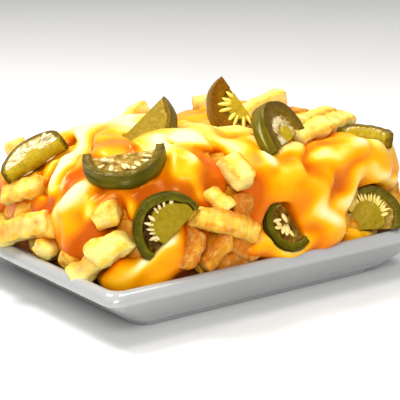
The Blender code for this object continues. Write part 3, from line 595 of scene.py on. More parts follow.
def flesh_material():
    """Cut pepper flesh: zone 0 is the wall, 0.5 the seed chamber and 1 the placenta."""
    n = Nodes("pepper_flesh")
    brown, yellow = n.attribute("brown"), n.attribute("placenta")
    zone = n.maths("ADD", n.attribute("zone"), n.patches(450, 3, -0.07, 0.07))
    wall = n.mix(brown, (0.038, 0.038, 0.0), (0.14, 0.048, 0.0))
    rim = n.mix(brown, (0.10, 0.09, 0.001), (0.21, 0.09, 0.0))
    wall = n.mix(n.spread(zone, 0.05, 0.22, 0.0, 1.0), wall, rim)
    grains = n.mix(brown, (0.13, 0.11, 0.002), (0.32, 0.13, 0.003))
    wall = n.mix(n.patches(1100, 3, 0.0, 0.5, (0.5, 0.7)), wall, grains)
    tissue = n.maths("ADD", n.attribute("chamber"), n.patches(420, 5, -0.3, 0.3))
    chamber = n.ramp(tissue, (0.0, (0.030, 0.010, 0.001)), (0.3, (0.14, 0.06, 0.003)),
                     (0.6, (0.30, 0.18, 0.02)), (0.8, (0.50, 0.40, 0.17)),
                     (1.0, (0.66, 0.64, 0.46)))
    placenta = n.mix(yellow, (0.09, 0.055, 0.0), (0.50, 0.36, 0.006))
    placenta = n.mix(n.maths("MULTIPLY", brown, 0.7), placenta, (0.34, 0.18, 0.001))
    clouds = n.mix(yellow, (0.20, 0.11, 0.0), (0.60, 0.44, 0.03))
    placenta = n.mix(n.patches(130, 3, 0.0, 0.55, (0.35, 0.65)), placenta, clouds)
    mottle = n.patches(700, 4, 0.0, 0.28, (0.42, 0.66))
    placenta = n.mix(mottle, placenta, (0.07, 0.07, 0.001))
    face = n.mix(n.spread(zone, 0.28, 0.40, 0.0, 1.0), wall, chamber)
    face = n.mix(n.spread(zone, 0.62, 0.80, 0.0, 1.0), face, placenta)
    side = n.mix(n.spread(zone, 0.1, 0.3, 0.0, 1.0), wall, placenta)
    n.bump(n.noise(450, 4), 0.5, 0.0004)
    n.set(Base_Color=n.mix(n.attribute("cut_side"), face, side), Roughness=0.34,
          Subsurface_Weight=0.12, Subsurface_Radius=(0.8, 1.0, 0.2), Subsurface_Scale=0.0015,
          Specular_IOR_Level=0.2, Specular_Tint=(1.0, 0.9, 0.4))
    return n.mat


def seed_material():
    n = Nodes("pepper_seed")
    cream = n.ramp(n.noise(420, 3), (0.3, (0.52, 0.36, 0.13)), (0.7, (0.80, 0.68, 0.40)))
    n.bump(n.noise(1200, 2), 0.2, 0.0002)
    n.set(Base_Color=n.mix(n.attribute("tooth"), cream, (0.78, 0.66, 0.08)),
          Roughness=0.35, Subsurface_Weight=0.1, Subsurface_Scale=0.001)
    return n.mat


def porcelain_material():
    n = Nodes("white_glaze")
    n.bump(n.noise(60, 2), 0.05, 0.0006)
    n.set(Base_Color=n.ramp(n.noise(25, 3), (0.3, (0.325, 0.33, 0.33)),
                            (0.7, (0.355, 0.36, 0.365))),
          Roughness=n.patches(90, 2, 0.08, 0.16), Coat_Weight=0.5, Coat_Roughness=0.05)
    return n.mat


# Plate ---------------------------------

def rounded_rectangle(half_x, half_y, corner, height):
    quarter, step = np.divmod(np.arange(4 * (CORNER_STEPS + 1)), CORNER_STEPS + 1)
    angle = math.pi / 2 * (quarter + step / CORNER_STEPS)
    sign = np.array((1, -1, -1, 1))
    x = sign[quarter] * (half_x - corner) + corner * np.cos(angle)
    y = sign[quarter - 1] * (half_y - corner) + corner * np.sin(angle)
    return np.stack([x, y, np.full_like(x, height)], axis=-1)


def build_plate():
    rings = [rounded_rectangle(x + out_x, y + out_y, corner, z + lift)
             for (x, y, z), steps in PLATE_EDGES for out_x, out_y, corner, lift in steps]
    obj = new_piece("porcelain_plate", *loft(rings), [porcelain_material()])
    turn_outwards(obj)
    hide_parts("plate")


# Fries ---------------------------------

def fry_frame(start, end):
    """Unit vectors along a fry, out from the heap, and across."""
    along = (end - start) / np.linalg.norm(end - start)
    outward = dome_normal((start + end) / 2)
    across = np.cross(along, outward)
    across /= np.linalg.norm(across)
    return along, np.cross(across, along), across


def fry_rings(start, end, side, bend, waviness, seed, detail):
    """Rings of an uneven square bar with blunt ends, and how near each point is an edge."""
    draw = random.Random(seed)
    along, outward, across = fry_frame(start, end)
    length = np.linalg.norm(end - start)
    section, step = detail
    first, second = END_RINGS
    inner = np.linspace(second, length - second, max(5, int(length / step)))
    far = np.concatenate([[0, first], inner, [length - first, length]])[:, None]
    angle = 2 * np.pi * np.arange(section) / section + np.pi / 4
    power = draw.uniform(*FRY_POWERS) / (1 + 1.2 * max(0.0, waviness - 1))
    square = (np.abs(np.cos(angle)) ** power + np.abs(np.sin(angle)) ** power) ** (-1 / power)
    corners = [draw.uniform(*FRY_CORNERS) for _ in range(4)]
    skew = np.interp(angle - np.pi / 4, np.linspace(0, 2 * np.pi, 5), corners + corners[:1])
    phases = [draw.uniform(0, 6.28) for _ in range(6)]
    slant = np.array([draw.uniform(-END_SLANT[0], END_SLANT[0]) * side for _ in range(4)])
    tall = draw.uniform(*FRY_TALL)
    waves = [waviness * size * np.sin(far / width + phase)
             for (size, width), phase in zip(FRY_WAVES, phases)]
    near_end = np.minimum(far, length - far)
    blunt = 1 - END_BLUNT[0] * np.exp(-near_end / END_BLUNT[1])
    half = side / 2 * blunt * (1 + waves[0] + waves[1]) * skew * square
    a = half * np.cos(angle + waves[2])
    b = half * tall * np.sin(angle + waves[2])
    lean_a, lean_b = np.where(far < length / 2, slant[:2], slant[2:]).T[..., None]
    tip = np.exp(-near_end / END_SLANT[1]) * (a * lean_a + b * lean_b) / (side / 2)
    shift_out = bend * np.sin(math.pi * far / length) + waves[3]
    rings = (start + (far + tip)[..., None] * along + (a + waves[4])[..., None] * across
             + (b + shift_out)[..., None] * outward)
    edge = np.clip((square - EDGE_REACH[0]) / EDGE_REACH[1], 0, 1)
    return rings, np.tile(edge, len(far))


def hero_fries():
    """The fries that the photo shows: ends, side, bend, waviness and tone."""
    return [(dome(*a), dome(*b), FRY_SIDE * scale, bend, wave, tone)
            for a, b, scale, bend, wave, tone in FRIES.values()]


def filler_fries(heroes):
    """Seeded fries in two layers over the whole heap, lower where something lies on them."""
    draw = random.Random(FILLER_SEED)
    chosen = []
    for places, spacing, outs, rises in FILLER_LAYERS:
        taken = []
        for k in range(places):
            middle = dome(k * GOLDEN_ANGLE % 360, draw.uniform(*rises))
            if taken and min(np.linalg.norm(middle - other) for other in taken) < spacing:
                continue
            heading = draw.uniform(0, math.pi)
            length = draw.uniform(*FILLER_LENGTHS)
            out = draw.uniform(*outs)
            side = FRY_SIDE * draw.uniform(*FILLER_SIDES)
            for depth in (*np.arange(out, DEEPEST_FRY, -SINK_STEP), DEEPEST_FRY):
                line = bar_line(middle, heading, length, depth)
                if is_clear(line, side, heroes):
                    break
            if not fits_plate(line, side):
                continue
            taken.append(middle)
            chosen.append((line[0], line[-1], side, draw.uniform(*FILLER_BENDS),
                           draw.uniform(*FILLER_WAVES), draw.uniform(*FILLER_TONES)))
    return chosen


def bar_line(middle, heading, length, out):
    """Points along a fry that hugs the outline, heading given in the tangent plane."""
    normal = dome_normal(middle)
    level = np.cross((0, 0, 1), normal)
    level /= np.linalg.norm(level)
    way = math.cos(heading) * level + math.sin(heading) * np.cross(normal, level)
    ends = [settle(middle + way * length / 2 * sign, out) for sign in (-1, 1)]
    return np.linspace(ends[0], ends[1], 5)


def is_clear(line, side, heroes):
    """Whether a fry keeps out of the shown fries and the slices."""
    if any(closest(line, np.linspace(start, end, 5)) < width * FRY_ROOM
           for start, end, width, *_ in heroes):
        return False
    return all(slice_distance(line, row).min() > SLICE_ROOM * side for row in SLICES.values())


def closest(line, points):
    return np.linalg.norm(line[:, None] - points[None], axis=2).min()


def fits_plate(line, side):
    """Whether a fry clears the plate's lip and stays inside its sloping wall."""
    x, y, z = np.abs(line[:, 0]), np.abs(line[:, 1]), line[:, 2]
    throat = np.minimum(LIP_X - THROAT_INSET - x, LIP_Y - THROAT_INSET - y)
    over_lip = z > CREST_HEIGHT + LIP_ROOM * side
    rise = (z - FOOT_HEIGHT) / (LIP_HEIGHT - FOOT_HEIGHT)
    wall = np.minimum(FOOT_X + rise * (LIP_X - FOOT_X) - x, FOOT_Y + rise * (LIP_Y - FOOT_Y) - y)
    inside = over_lip | ((throat > THROAT_ROOM * side) & (wall > WALL_ROOM * side))
    return inside.all() and z.min() > LOWEST_FRY


def core_rings():
    """Rings of the smooth core that closes the gaps between the fries."""
    angle = np.linspace(0, 360, CORE_SIDES, endpoint=False)
    rings = [dome(angle, np.full_like(angle, rise), np.full_like(angle, -CORE_INSET))
             for rise in np.linspace(*CORE_RISES, CORE_LEVELS)]
    low = rings[0].copy()
    low[:, :2] *= (FLOOR_X - CORE_FOOT_INSET) / DOME[0], (FLOOR_Y - CORE_FOOT_INSET) / DOME[1]
    low[:, 2] = FLOOR_HEIGHT + CORE_FOOT_RISE
    return [low] + rings


def build_fries(fries, grid, painted_hollow_shade):
    """One piece: the core and every fry, with its tone and edges as point values."""
    bumps, grain = Ripple(21, 7.0), Ripple(22, 3.4)
    core = loft(core_rings())
    core_count = len(core[0])
    parts, tones, edges = [core], [np.ones(core_count)], [np.zeros(core_count)]
    for number, (start, end, side, bend, waviness, tone) in enumerate(fries):
        detail = FINE if number < len(FRIES) else PLAIN
        rings, edge = fry_rings(start, end, side, bend, waviness, number, detail)
        out = rings - rings.mean(axis=1, keepdims=True)
        lift = CRUST[0] * bumps(rings + number) + CRUST[1] * grain(rings + number)
        rings += out / np.linalg.norm(out, axis=2, keepdims=True) * lift[..., None]
        parts.append(loft(rings))
        edges.append(np.append(edge, (0.0, 0.0)))
        tones.append(np.full_like(edges[-1], tone))
    points, faces = joined(parts)
    # Painted gap shade: darker the further a point lies below the outline; the core is painted
    # fully dark.
    depth = (1 - dome_scale(points)) * DOME[1]
    painted_gap_shade = np.clip((depth - GAP_DEPTH[0]) / GAP_DEPTH[1], 0, 1)
    painted_gap_shade[:core_count] = 1.0
    obj = new_piece("french_fries", points, faces, [fry_material()])
    add_values(obj.data, "painted_gap_shade", painted_gap_shade)
    # Painted shade in hollows, from the share of solid round each point.
    add_values(obj.data, "hollow_painted_shade", interpolate(painted_hollow_shade, grid.spots(points)))
    # The tone value also carries painted shade on a fry's steep sides.
    add_values(obj.data, "tone", np.concatenate(tones) + FRY_SLOPE_PAINTED_SHADE * painted_slope_shade(obj.data))
    add_values(obj.data, "edge", np.concatenate(edges))
    turn_outwards(obj)
    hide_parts("fries")


# Sauce ---------------------------------

class Grid:
    """A box of sample points in millimetres, and how to find a part of it."""

    def __init__(self, low, high, step):
        self.low, self.step = np.array(low), step
        self.shape = tuple(np.ceil((np.array(high) - low) / step).astype(int) + 1)

    def spots(self, points):
        """Points in space counted in steps of the grid."""
        return (points - self.low) / self.step

    def window(self, low, high):
        """Slices of the grid that cover a box."""
        first = np.maximum(np.floor(self.spots(low)).astype(int), 0)
        last = np.minimum(np.ceil(self.spots(high)).astype(int) + 1, self.shape)
        return tuple(slice(a, max(a, b)) for a, b in zip(first, last))

    def points(self, window=None):
        window = window or tuple(slice(0, n) for n in self.shape)
        axes = [low + self.step * np.arange(part.start, part.stop)
                for low, part in zip(self.low, window)]
        return np.stack(np.meshgrid(*axes, indexing="ij"), axis=-1).astype(np.float32)


def interpolate(table, spots):
    """Values of a table between its entries, at places counted in entries."""
    spots = np.clip(spots, 0, np.array(table.shape) - 1.001)
    first = spots.astype(int)
    share = spots - first
    total = 0
    for corner in np.ndindex(*(2,) * table.ndim):
        weight = np.prod(np.where(corner, share, 1 - share), axis=1)
        total = total + weight * table[tuple((first + corner).T)]
    return total


def bar_distance(points, start, end, side):
    """Distance to a square bar."""
    axes = np.array(fry_frame(start, end), dtype=np.float32)
    half = np.array((np.linalg.norm(end - start), side, side), dtype=np.float32) / 2
    local = np.abs((points - ((start + end) / 2).astype(np.float32)) @ axes.T) - half
    outside = np.linalg.norm(np.maximum(local, 0), axis=-1)
    return outside + np.minimum(local.max(axis=-1), 0)


def core_distance(grid):
    """Rough distance to the heap's smooth core."""
    return ((dome_scale(grid.points()) - 1) * OUTLINE_REACH + CORE_INSET).astype(np.float32)


def with_fries(grid, field, fries):
    """A distance field with fries added to it."""
    field = field.copy()
    for start, end, side, *_ in fries:
        low, high = np.minimum(start, end) - side - 4, np.maximum(start, end) + side + 4
        window = grid.window(low, high)
        part = bar_distance(grid.points(window), start, end, side)
        field[window] = np.minimum(field[window], part)
    return field


def blur(field, width):
    """Gaussian blur through the Fourier transform; the field's own edges wrap."""
    waves = np.ix_(*map(np.fft.fftfreq, field.shape[:2]), np.fft.rfftfreq(field.shape[2]))
    square = sum(wave ** 2 for wave in waves)
    spectrum = np.fft.rfftn(field) * np.exp(-2 * (math.pi * width) ** 2 * square)
    return np.fft.irfftn(spectrum, field.shape).astype(np.float32)


def filled_share(field, step, width):
    """Share of the space around each sample that is solid, over a width."""
    return blur(np.clip(0.5 - field / (2 * step), 0, 1), width / step)


def drape_distance(field, step):
    """Rough distance to the heap's surface after it is smoothed like a draped film."""
    soft = np.clip(filled_share(field, step, DRAPE_BLUR), 1e-5, 1 - 1e-5)
    return DRAPE_BLUR * 0.6 * np.log((1 - soft) / soft)


def path_points(spots):
    """Close points along a path on the heap's outline."""
    points = []
    share = np.linspace(0, 1, PATH_STEPS)
    for (b0, r0), (b1, r1) in zip(spots, spots[1:]):
        turn = (b1 - b0 + 180) % 360 - 180
        points.append(dome(b0 + turn * share, r0 + (r1 - r0) * share))
    return np.concatenate(points).astype(np.float32)


def path_gap(points, spots):
    """Distance from each point to a path."""
    route = path_points(spots)
    square = (points ** 2).sum(axis=1)[:, None] + (route ** 2).sum(axis=1) - 2 * points @ route.T
    return np.sqrt(np.maximum(square.min(axis=1), 0))


def bells(points, table):
    """Each path's height and, at every point, a bell curve across the path."""
    for spots, width, height in table.values():
        yield height, np.exp(-(path_gap(points, spots) / width) ** 2)


class SauceMap:
    """The pours laid out over the heap's two angles: distance to their edge, thickness."""

    def __init__(self):
        angles = np.meshgrid(np.linspace(0, 360, MAP_BEARINGS + 1),
                             np.linspace(MAP_LOWEST, 90, MAP_RISES), indexing="ij")
        points = dome(*angles).reshape(-1, 3).astype(np.float32)
        warp = [Ripple(seed, WARP_WIDTH, 8)(points) for seed in WARP_SEEDS]
        points = points + WARP * np.stack(warp, axis=-1).astype(np.float32)
        edge = np.full(len(points), np.inf, dtype=np.float32)
        thick = np.zeros(len(points), dtype=np.float32)
        for spots, width, top in POURS.values():
            gap = path_gap(points, spots)
            edge = np.minimum(edge, gap - width)
            thick = np.maximum(thick, top * np.exp(-POUR_FALL * (gap / width) ** 2))
        thick += BEAD * np.exp(-((edge + BEAD_INSET) / BEAD_WIDTH) ** 2)
        relief = FLOW * Ripple(35, FLOW_WIDTH, 10)(points).astype(np.float32)
        relief += sum(height * bell for height, bell in bells(points, FOLDS))
        swell = np.max([(height + SWELL_FOOT) * bell - SWELL_FOOT
                        for height, bell in bells(points, SWELLS)], axis=0)
        # Painted highlights and painted shade along the listed stretches.
        shade = sum(shift * bell for shift, bell in bells(points, PAINTED_LIGHT_AND_SHADE))
        self.edge, self.thick, self.swell, self.shade = (
            table.reshape(angles[0].shape)
            for table in (edge, BASE_THICK + thick + relief, swell + relief, shade))

    def read(self, table, points):
        """Values of a table at points in space, by their angles round the heap."""
        x, y = points[:, 0], points[:, 1]
        z = (points[:, 2] - DOME_BASE) / lean(x, y)
        x, y, z = x / DOME[0], y / taper(y, z) / DOME[1], z / DOME[2]
        bearing = np.degrees(np.arctan2(y, x)) % 360 / 360
        rise = (np.degrees(np.arctan2(z, np.hypot(x, y))) - MAP_LOWEST) / (90 - MAP_LOWEST)
        return interpolate(table, np.stack([bearing * MAP_BEARINGS, rise * (MAP_RISES - 1)], 1))


def smooth_max(a, b, radius):
    """The larger of two fields, with the crease between them rounded."""
    blend = np.clip(radius - np.abs(a - b), 0, None) / radius
    return np.maximum(a, b) + blend * blend * radius / 4


def slice_distance(points, row):
    """Distance to a slice and the clear space before its face."""
    spot, facing, roll, radius, cut, clear = row
    origin, axes = slice_frame(spot, facing, roll)
    x, y, z = np.moveaxis((points - origin) @ axes.T, -1, 0)
    half = SLICE_THICK / 2
    return np.maximum.reduce((np.hypot(x, y) - radius, -y - radius * cut,
                              -half - z, z - half - clear))


def sauce_field(grid, sharp, sauce):
    """Distance to the sauce that lies on the core and the fillers."""
    drape = drape_distance(sharp, grid.step)
    field = np.full(grid.shape, FAR_AWAY, dtype=np.float32)
    near = (drape < DRAPE_BLUR * 5) & (drape > -SAUCE_DEPTH - 2)
    near &= grid.points()[..., 2] < SAUCE_TOP
    points = grid.points()[near]
    edge, thick = sauce.read(sauce.edge, points), sauce.read(sauce.thick, points)
    top = np.minimum(drape[near] - thick, sharp[near] - COVER)
    swell = (dome_scale(points) - 1) * OUTLINE_REACH - sauce.read(sauce.swell, points)
    top = -smooth_max(-top, -swell, SWELL_BLEND)
    shell = smooth_max(top, edge, EDGE_ROUND)
    for row in SLICES.values():
        shell = smooth_max(shell, SLICE_GAP - slice_distance(points, row), SLICE_BEAD)
    field[near] = np.maximum(shell, -(drape[near] + SAUCE_DEPTH))
    low = grid.points()[..., 2] < FLOOR_HEIGHT + 1
    field[low] = np.maximum(field[low], 1.0)
    return blur(field, FIELD_BLUR)


def surface_net(field, grid):
    """Vertices and quads of the field's zero level, one vertex in each crossed cell."""
    inside = field < 0
    corner = np.array(list(np.ndindex(2, 2, 2)))
    size = tuple(n - 1 for n in field.shape)
    views = [tuple(slice(o, o + n) for o, n in zip(offset, size)) for offset in corner]
    filled = sum(inside[view].astype(np.int8) for view in views)
    active = (filled > 0) & (filled < 8)
    cells = np.argwhere(active)
    values = np.stack([field[view][active] for view in views], axis=1)
    total = np.zeros((len(cells), 3))
    count = np.zeros((len(cells), 1))
    for a, b in itertools.combinations(range(8), 2):
        if (corner[a] != corner[b]).sum() != 1:
            continue
        first, second = values[:, a], values[:, b]
        crossed = (first < 0) != (second < 0)
        share = first / np.where(crossed, first - second, 1)
        spot = corner[a] + share[:, None] * (corner[b] - corner[a])
        total += np.where(crossed[:, None], spot, 0)
        count += crossed[:, None]
    points = grid.low + grid.step * (cells + total / count)
    number = np.full(size, -1, dtype=np.int64)
    number[active] = np.arange(len(cells))
    return points, np.concatenate([net_quads(inside, number, axis) for axis in range(3)])


def net_quads(inside, number, axis):
    """Quads across the grid edges along one axis where the field changes sign."""
    order = [axis] + [k for k in range(3) if k != axis]
    inside, number = inside.transpose(order), number.transpose(order)
    crossed = (inside[:-1] != inside[1:])[:, 1:-1, 1:-1]
    i, j, k = (np.argwhere(crossed) + (0, 1, 1)).T
    quads = np.stack([number[i, j - down, k - left]
                      for down, left in ((0, 0), (1, 0), (1, 1), (0, 1))], axis=1)
    flip = inside[i, j, k] == (axis == 1)
    quads[flip] = quads[flip][:, ::-1]
    return quads


def relax(points, quads):
    """Smooth a mesh without shrinking it: steps towards and away from the neighbours."""
    pairs = np.concatenate([quads[:, [k, (k + 1) % 4]] for k in range(4)])
    pairs = np.concatenate([pairs, pairs[:, ::-1]])
    degree = np.bincount(pairs[:, 0], minlength=len(points))[:, None]
    for step in RELAX_STEPS * RELAX_ROUNDS:
        mean = np.stack([np.bincount(pairs[:, 0], points[pairs[:, 1], k], len(points))
                         for k in range(3)], axis=1) / degree
        points = points + step * (mean - points)
    return points


def painted_slope_shade(mesh):
    """Painted shade by slope: 0 where a mesh faces up and more the steeper it gets."""
    normals = np.empty(len(mesh.vertices) * 3, dtype=np.float32)
    mesh.vertices.foreach_get("normal", normals)
    return SLOPE_PAINTED_SHADE[0] - normals.reshape(-1, 3)[:, 2]


def build_sauce(grid, field, painted_hollow_shade, sauce):
    points, quads = surface_net(field, grid)
    points, quads = without_scraps(relax(points, quads), quads)
    obj = new_piece("poured_cheese", points, quads.tolist(), [cheese_material()])
    # Painted shade in hollows and on steep slopes, plus the stretches' painted highlights and
    # shade.
    shade = interpolate(painted_hollow_shade, grid.spots(points)) + SLOPE_PAINTED_SHADE[1] * painted_slope_shade(obj.data)
    add_values(obj.data, "shade", shade + sauce.read(sauce.shade, points))
    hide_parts("cheese_sauce")


def without_scraps(points, quads):
    """The mesh without loose shells of only a few faces. Shells hang together by edges."""
    ends = np.sort([quads, np.roll(quads, -1, axis=1)], axis=0)
    edge = np.unique(ends[0] * len(points) + ends[1], return_inverse=True)[1].reshape(quads.shape)
    shell = np.arange(edge.max() + 1)
    before = None
    while not np.array_equal(shell, before):
        before = shell.copy()
        np.minimum.at(shell, edge.ravel(), np.repeat(before[edge].min(axis=1), 4))
        shell = shell[shell]
    own = shell[edge[:, 0]]
    used, number = np.unique(quads[np.bincount(own)[own] >= SCRAP_FACES], return_inverse=True)
    return points[used], number.reshape(-1, 4)


# Jalapeno slices -----------------------

def slice_frame(spot, facing, roll):
    """A half slice's origin and axes: X along the cut, Y to the arc, Z out of its face."""
    face = direction(*facing)
    level = direction(facing[0] + 90, 0)
    turn = math.radians(roll)
    arc = np.cross(face, level) * math.cos(turn) + level * math.sin(turn)
    return dome(*spot), np.stack([np.cross(arc, face), arc, face])


def slice_outline(turn, seed):
    """Uneven radius of a slice round its arc, as a share of the plain one."""
    draw = random.Random(seed)
    return 1 + sum(size * np.sin(count * turn + draw.uniform(0, 6.28))
                   for count, size in SLICE_WAVES)


def ray_reach(low, turn, radius):
    """How far a ray from the middle of the cut runs to a circle round the slice's centre."""
    inside = np.maximum(radius ** 2 - (low * np.cos(turn)) ** 2, 0)
    return np.maximum(low * np.sin(turn) + np.sqrt(inside), 0)


def slice_rows(bare):
    """Rows from the cut's middle out: which stretch, share of it, depth and zone.

    Stretches run to the placenta's edge, the chamber's floor, its far side, the wall and
    the skin. Depth is the share of the chamber's depth; zone is 1 placenta, 0 wall. A bare
    slice has lost its placenta, and its chamber reaches the middle.
    """
    if bare:
        rows = [(0, share, 1.0, 0.5) for share in np.linspace(0.1, 0.95, 9)]
        rows += [(1, share, 1.0, 0.5) for share in (0.0, 0.5, 1.0)]
    else:
        rows = [(0, share, 0.12 * share ** 2, 1.0) for share in np.linspace(0.1, 0.95, 9)]
        rows += [(1, share, share ** 1.5, 1.0 - 0.5 * share) for share in (0.0, 0.3, 0.6, 1.0)]
    rows += [(2, share, 1.0 + 0.06 * share, 0.5) for share in (0.33, 0.66)]
    rows += [(3, share, 1.0 - share ** 1.5, 0.5 - 0.3 * share) for share in (0.0, 0.4, 0.7, 1.0)]
    rows += [(4, share, 0.0, 0.2 - 0.2 * share) for share in (0.2, 0.4, 0.6, 0.8, 0.93)]
    return rows


def slice_half(radius, low, look, seed):
    """One side of a half slice: points by ray and row, and their zones."""
    core, wall = (look.core or BARE_SHARE) * radius, radius - look.wall
    turn = np.linspace(0, math.pi, SLICE_STEPS + 1)
    wobble = slice_outline(turn, seed)
    ragged = 1 + 0.05 * np.sin(3 * turn + seed) + 0.03 * np.sin(11 * turn + 2 * seed)
    ragged += look.shift * np.cos(turn)
    stops = [np.zeros_like(turn)]
    for circle in (core * ragged, core * ragged + SLOPE_WIDTH, wall - SLOPE_WIDTH, wall):
        stops.append(np.maximum(ray_reach(low, turn, circle) * wobble, stops[-1]))
    stops.append(ray_reach(low, turn, radius) * wobble)
    half = SLICE_THICK / 2
    rows = [(stops[stretch] + share * (stops[stretch + 1] - stops[stretch]),
             half - dip * look.depth, zone)
            for stretch, share, dip, zone in slice_rows(look.core == 0)]
    rows += [(stops[5] - inset, half - drop, 0.0) for inset, drop in SLICE_RIM]
    reach = np.array([row[0] for row in rows])
    height, zones = (np.repeat([[row[k]] for row in rows], len(turn), axis=1) for k in (1, 2))
    points = np.stack([reach * np.cos(turn), reach * np.sin(turn) - low, height], axis=-1)
    relief = Ripple(seed + 70, 4.0, 12)(points) + 0.4 * Ripple(seed + 90, 1.9, 12)(points)
    rough = SLICE_RELIEF * min(1.0, 0.7 * look.depth)
    points[..., 2] += rough * relief * np.clip(height / half * 4 - 2.6, 0, 1)
    return points.swapaxes(0, 1), zones.T


def slice_body(radius, low, look, seed):
    """A half slice's points and faces, zones and cut side, and which faces are skin."""
    upper, zones = slice_half(radius, low, look, seed)
    height = upper[0, 0, 2]
    hubs = [(0, -low, height), (0, -low, -height)]
    hub = np.full(len(zones), 2 * zones.size)
    top = np.column_stack([hub, np.arange(zones.size).reshape(zones.shape)])
    bottom = np.column_stack([hub + 1, top[:, 1:] + zones.size])
    face = [False] * (zones.shape[1] - SKIN_ROWS) + [True] * SKIN_ROWS
    sheets = [(top, face), (bottom, face), (np.column_stack([top[:, -1], bottom[:, -1]]), [True])]
    sheets += [(np.stack([top[ray], bottom[ray]]), [False] * len(face)) for ray in (0, -1)]
    faces, skin = [], []
    for lines, flags in sheets:
        faces += strip(lines)
        skin += flags * (len(lines) - 1)
    cut_side = np.zeros_like(zones)
    cut_side[[0, -1]] = 1
    upper = upper.reshape(-1, 3)
    points = np.concatenate([upper, upper * (1, 1, -1), hubs])
    values = [np.concatenate([value.ravel(), value.ravel(), value[0, [0, 0]]])
              for value in (zones, cut_side)]
    return (points, faces), values, skin


def grain_mesh(draw, shape, angle, far, rest, loose, side, lean_out):
    """One tooth or seed: a flat teardrop, turned and tilted by chance and put in place."""
    long_half, wide_half, thick_half = shape
    round_it = np.linspace(0, 2 * math.pi, 10, endpoint=False)
    rings = []
    for share in GRAIN_STATIONS:
        size = math.sin(math.pi * share) ** 0.6 * (1 - lean_out / 2 + lean_out * share)
        rings.append(np.stack([np.full(10, long_half * (2 * share - 1)),
                               wide_half * size * np.cos(round_it),
                               thick_half * size * np.sin(round_it)], axis=-1))
    points, faces = loft(rings)
    turn = Matrix.Rotation(angle + draw.uniform(-loose, loose), 3, "Z")
    tilt = Matrix.Rotation(draw.uniform(-loose, loose), 3, "X")
    nod = Matrix.Rotation(draw.uniform(-0.6 * loose, 0.4 * loose), 3, "Y")
    shift = np.array((far * math.cos(angle), far * math.sin(angle), rest))
    return (points @ np.array(turn @ tilt @ nod).T + shift) * (1, 1, side), faces


def slice_grains(radius, look, seed):
    """Teeth round the placenta and loose seeds in the chamber, on both cut sides."""
    draw = random.Random(seed)
    teeth, tooth_length, tooth_half = look.teeth
    seeds, first, last, middle = look.seeds
    half = SLICE_THICK / 2
    grains = []
    for side in (1, -1):
        for k in range(teeth):
            angle = math.pi * (k + 0.5 + draw.uniform(-0.3, 0.3)) / teeth
            length = tooth_length * draw.uniform(*TOOTH_LENGTHS)
            edge = look.core * radius * (1 + look.shift * math.cos(angle))
            if edge + length / 2 > radius - look.wall + 0.5:
                continue
            wide = tooth_half * draw.uniform(*TOOTH_WIDTHS)
            shape = (length / 2 + 0.5, wide, tooth_half * 0.9)
            far = edge + length / 2 - TOOTH_ROOT
            rest = half - 0.25 * look.depth + draw.uniform(-0.1, 0.15)
            grains.append((shape, angle, far, rest, TOOTH_LOOSE, side, TOOTH_TAPER))
        for k in range(seeds):
            share = (k + 0.5 + draw.uniform(-0.4, 0.4)) / seeds
            angle = math.radians(first + (last - first) * share)
            size = draw.uniform(*SEED_SIZES)
            shape = [size * value for value in SEED_HALF]
            far = radius * (middle + draw.uniform(-0.13, 0.13))
            rest = half - look.depth + 0.5 + draw.uniform(0, 0.7)
            grains.append((shape, angle, far, rest, SEED_LOOSE, side, SEED_TAPER))
    return [grain_mesh(draw, *grain) for grain in grains]


def build_slice(name, row, mats, number):
    spot, facing, roll, radius, cut, _ = row
    look = Look(*LOOKS[name])
    origin, axes = slice_frame(spot, facing, roll)
    body, values, skin = slice_body(radius - SKIN_INSET, radius * cut, look, number)
    points, faces = joined([body] + slice_grains(radius, look, number + 50))
    obj = new_piece("pepper_" + name, points @ axes + origin, faces, mats)
    kinds = [0 if flag else 1 for flag in skin] + [2] * (len(faces) - len(skin))
    obj.data.polygons.foreach_set("material_index", kinds)
    for label, value in zip(("zone", "cut_side"), values):
        add_values(obj.data, label, np.pad(value, (0, len(points) - len(value))))
    for label in ("brown", "chamber", "placenta", "tooth"):
        add_values(obj.data, label, np.full(len(points), getattr(look, label)))
    turn_outwards(obj)
    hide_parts("jalapeno_" + name)


# Stage ---------------------------------

def aim(obj, target, azimuth, elevation, distance):
    """Put a camera or light at a distance from its target; azimuth 0 looks along +Y."""
    away = Vector(direction(azimuth - 90, elevation))
    obj.location = Vector(target) + away * distance
    obj.rotation_euler = away.to_track_quat("Z", "Y").to_euler()


def add_camera():
    data = bpy.data.cameras.new("photo_camera")
    data.lens = LENS
    data.sensor_width = SENSOR
    data.clip_start = 0.05
    camera = add_object("photo_camera", data)
    aim(camera, Vector(VIEW_TARGET) * MM, VIEW_AZIMUTH, VIEW_ELEVATION, VIEW_DISTANCE * MM)
    bpy.context.scene.camera = camera


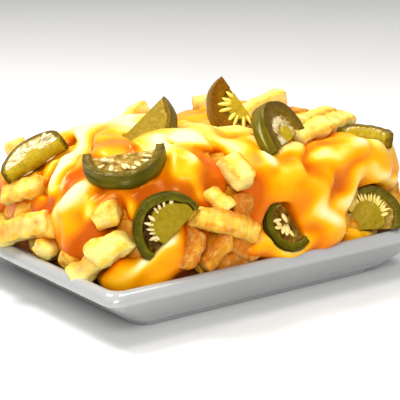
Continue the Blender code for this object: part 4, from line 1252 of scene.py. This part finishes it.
def add_light(name, azimuth, elevation, distance, size, power, colour):
    data = bpy.data.lights.new(name, "AREA")
    data.size = size
    data.energy = power
    data.color = colour
    aim(add_object(name, data), LIGHT_TARGET, azimuth, elevation, distance)


def build_stage():
    n = Nodes("pale_floor")
    n.set(Base_Color=n.ramp(n.noise(3, 2), (0.3, (0.70, 0.70, 0.70)), (0.7, (0.73, 0.73, 0.73))),
          Roughness=0.6)
    mesh = bpy.data.meshes.new("floor")
    corners = [(x * FLOOR_HALF, y * FLOOR_HALF, 0) for x, y in ((-1, -1), (1, -1), (1, 1), (-1, 1))]
    mesh.from_pydata(corners, [], [(0, 1, 2, 3)])
    mesh.materials.append(n.mat)
    floor = add_object("floor", mesh)
    floor.location.z = -FLOOR_DROP


def build_world():
    world = bpy.data.worlds.new("studio")
    bpy.context.scene.world = world
    world.use_nodes = True
    background = world.node_tree.nodes["Background"]
    background.inputs["Color"].default_value = (1, 1, 1, 1)
    background.inputs["Strength"].default_value = SKY_LIGHT


def main():
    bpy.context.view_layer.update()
    bpy.context.scene.view_settings.view_transform = "Standard"
    add_camera()
    build_world()
    build_stage()
    for name, row in LIGHTS.items():
        add_light(name, *row)
    build_plate()
    heroes = hero_fries()
    fillers = filler_fries(heroes)
    grid = Grid(*GRID_BOX, VOXEL)
    lying = with_fries(grid, core_distance(grid), fillers)
    pours = SauceMap()
    sauce = sauce_field(grid, lying, pours)
    solid = np.minimum(with_fries(grid, lying, heroes), sauce)
    # Share of solid round each place, used as painted shade in hollows.
    painted_hollow_shade = filled_share(solid, grid.step, HOLLOW_SHADE_BLUR)
    build_fries(heroes + fillers, grid, painted_hollow_shade)
    build_sauce(grid, sauce, painted_hollow_shade, pours)
    mats = [skin_material(), flesh_material(), seed_material()]
    for number, (name, row) in enumerate(SLICES.items()):
        build_slice(name, row, mats, number)


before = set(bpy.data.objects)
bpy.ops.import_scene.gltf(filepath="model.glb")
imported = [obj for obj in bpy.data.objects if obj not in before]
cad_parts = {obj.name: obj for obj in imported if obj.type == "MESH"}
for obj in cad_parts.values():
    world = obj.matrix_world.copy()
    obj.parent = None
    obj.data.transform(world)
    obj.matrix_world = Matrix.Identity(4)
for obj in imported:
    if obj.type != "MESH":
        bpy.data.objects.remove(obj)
main()
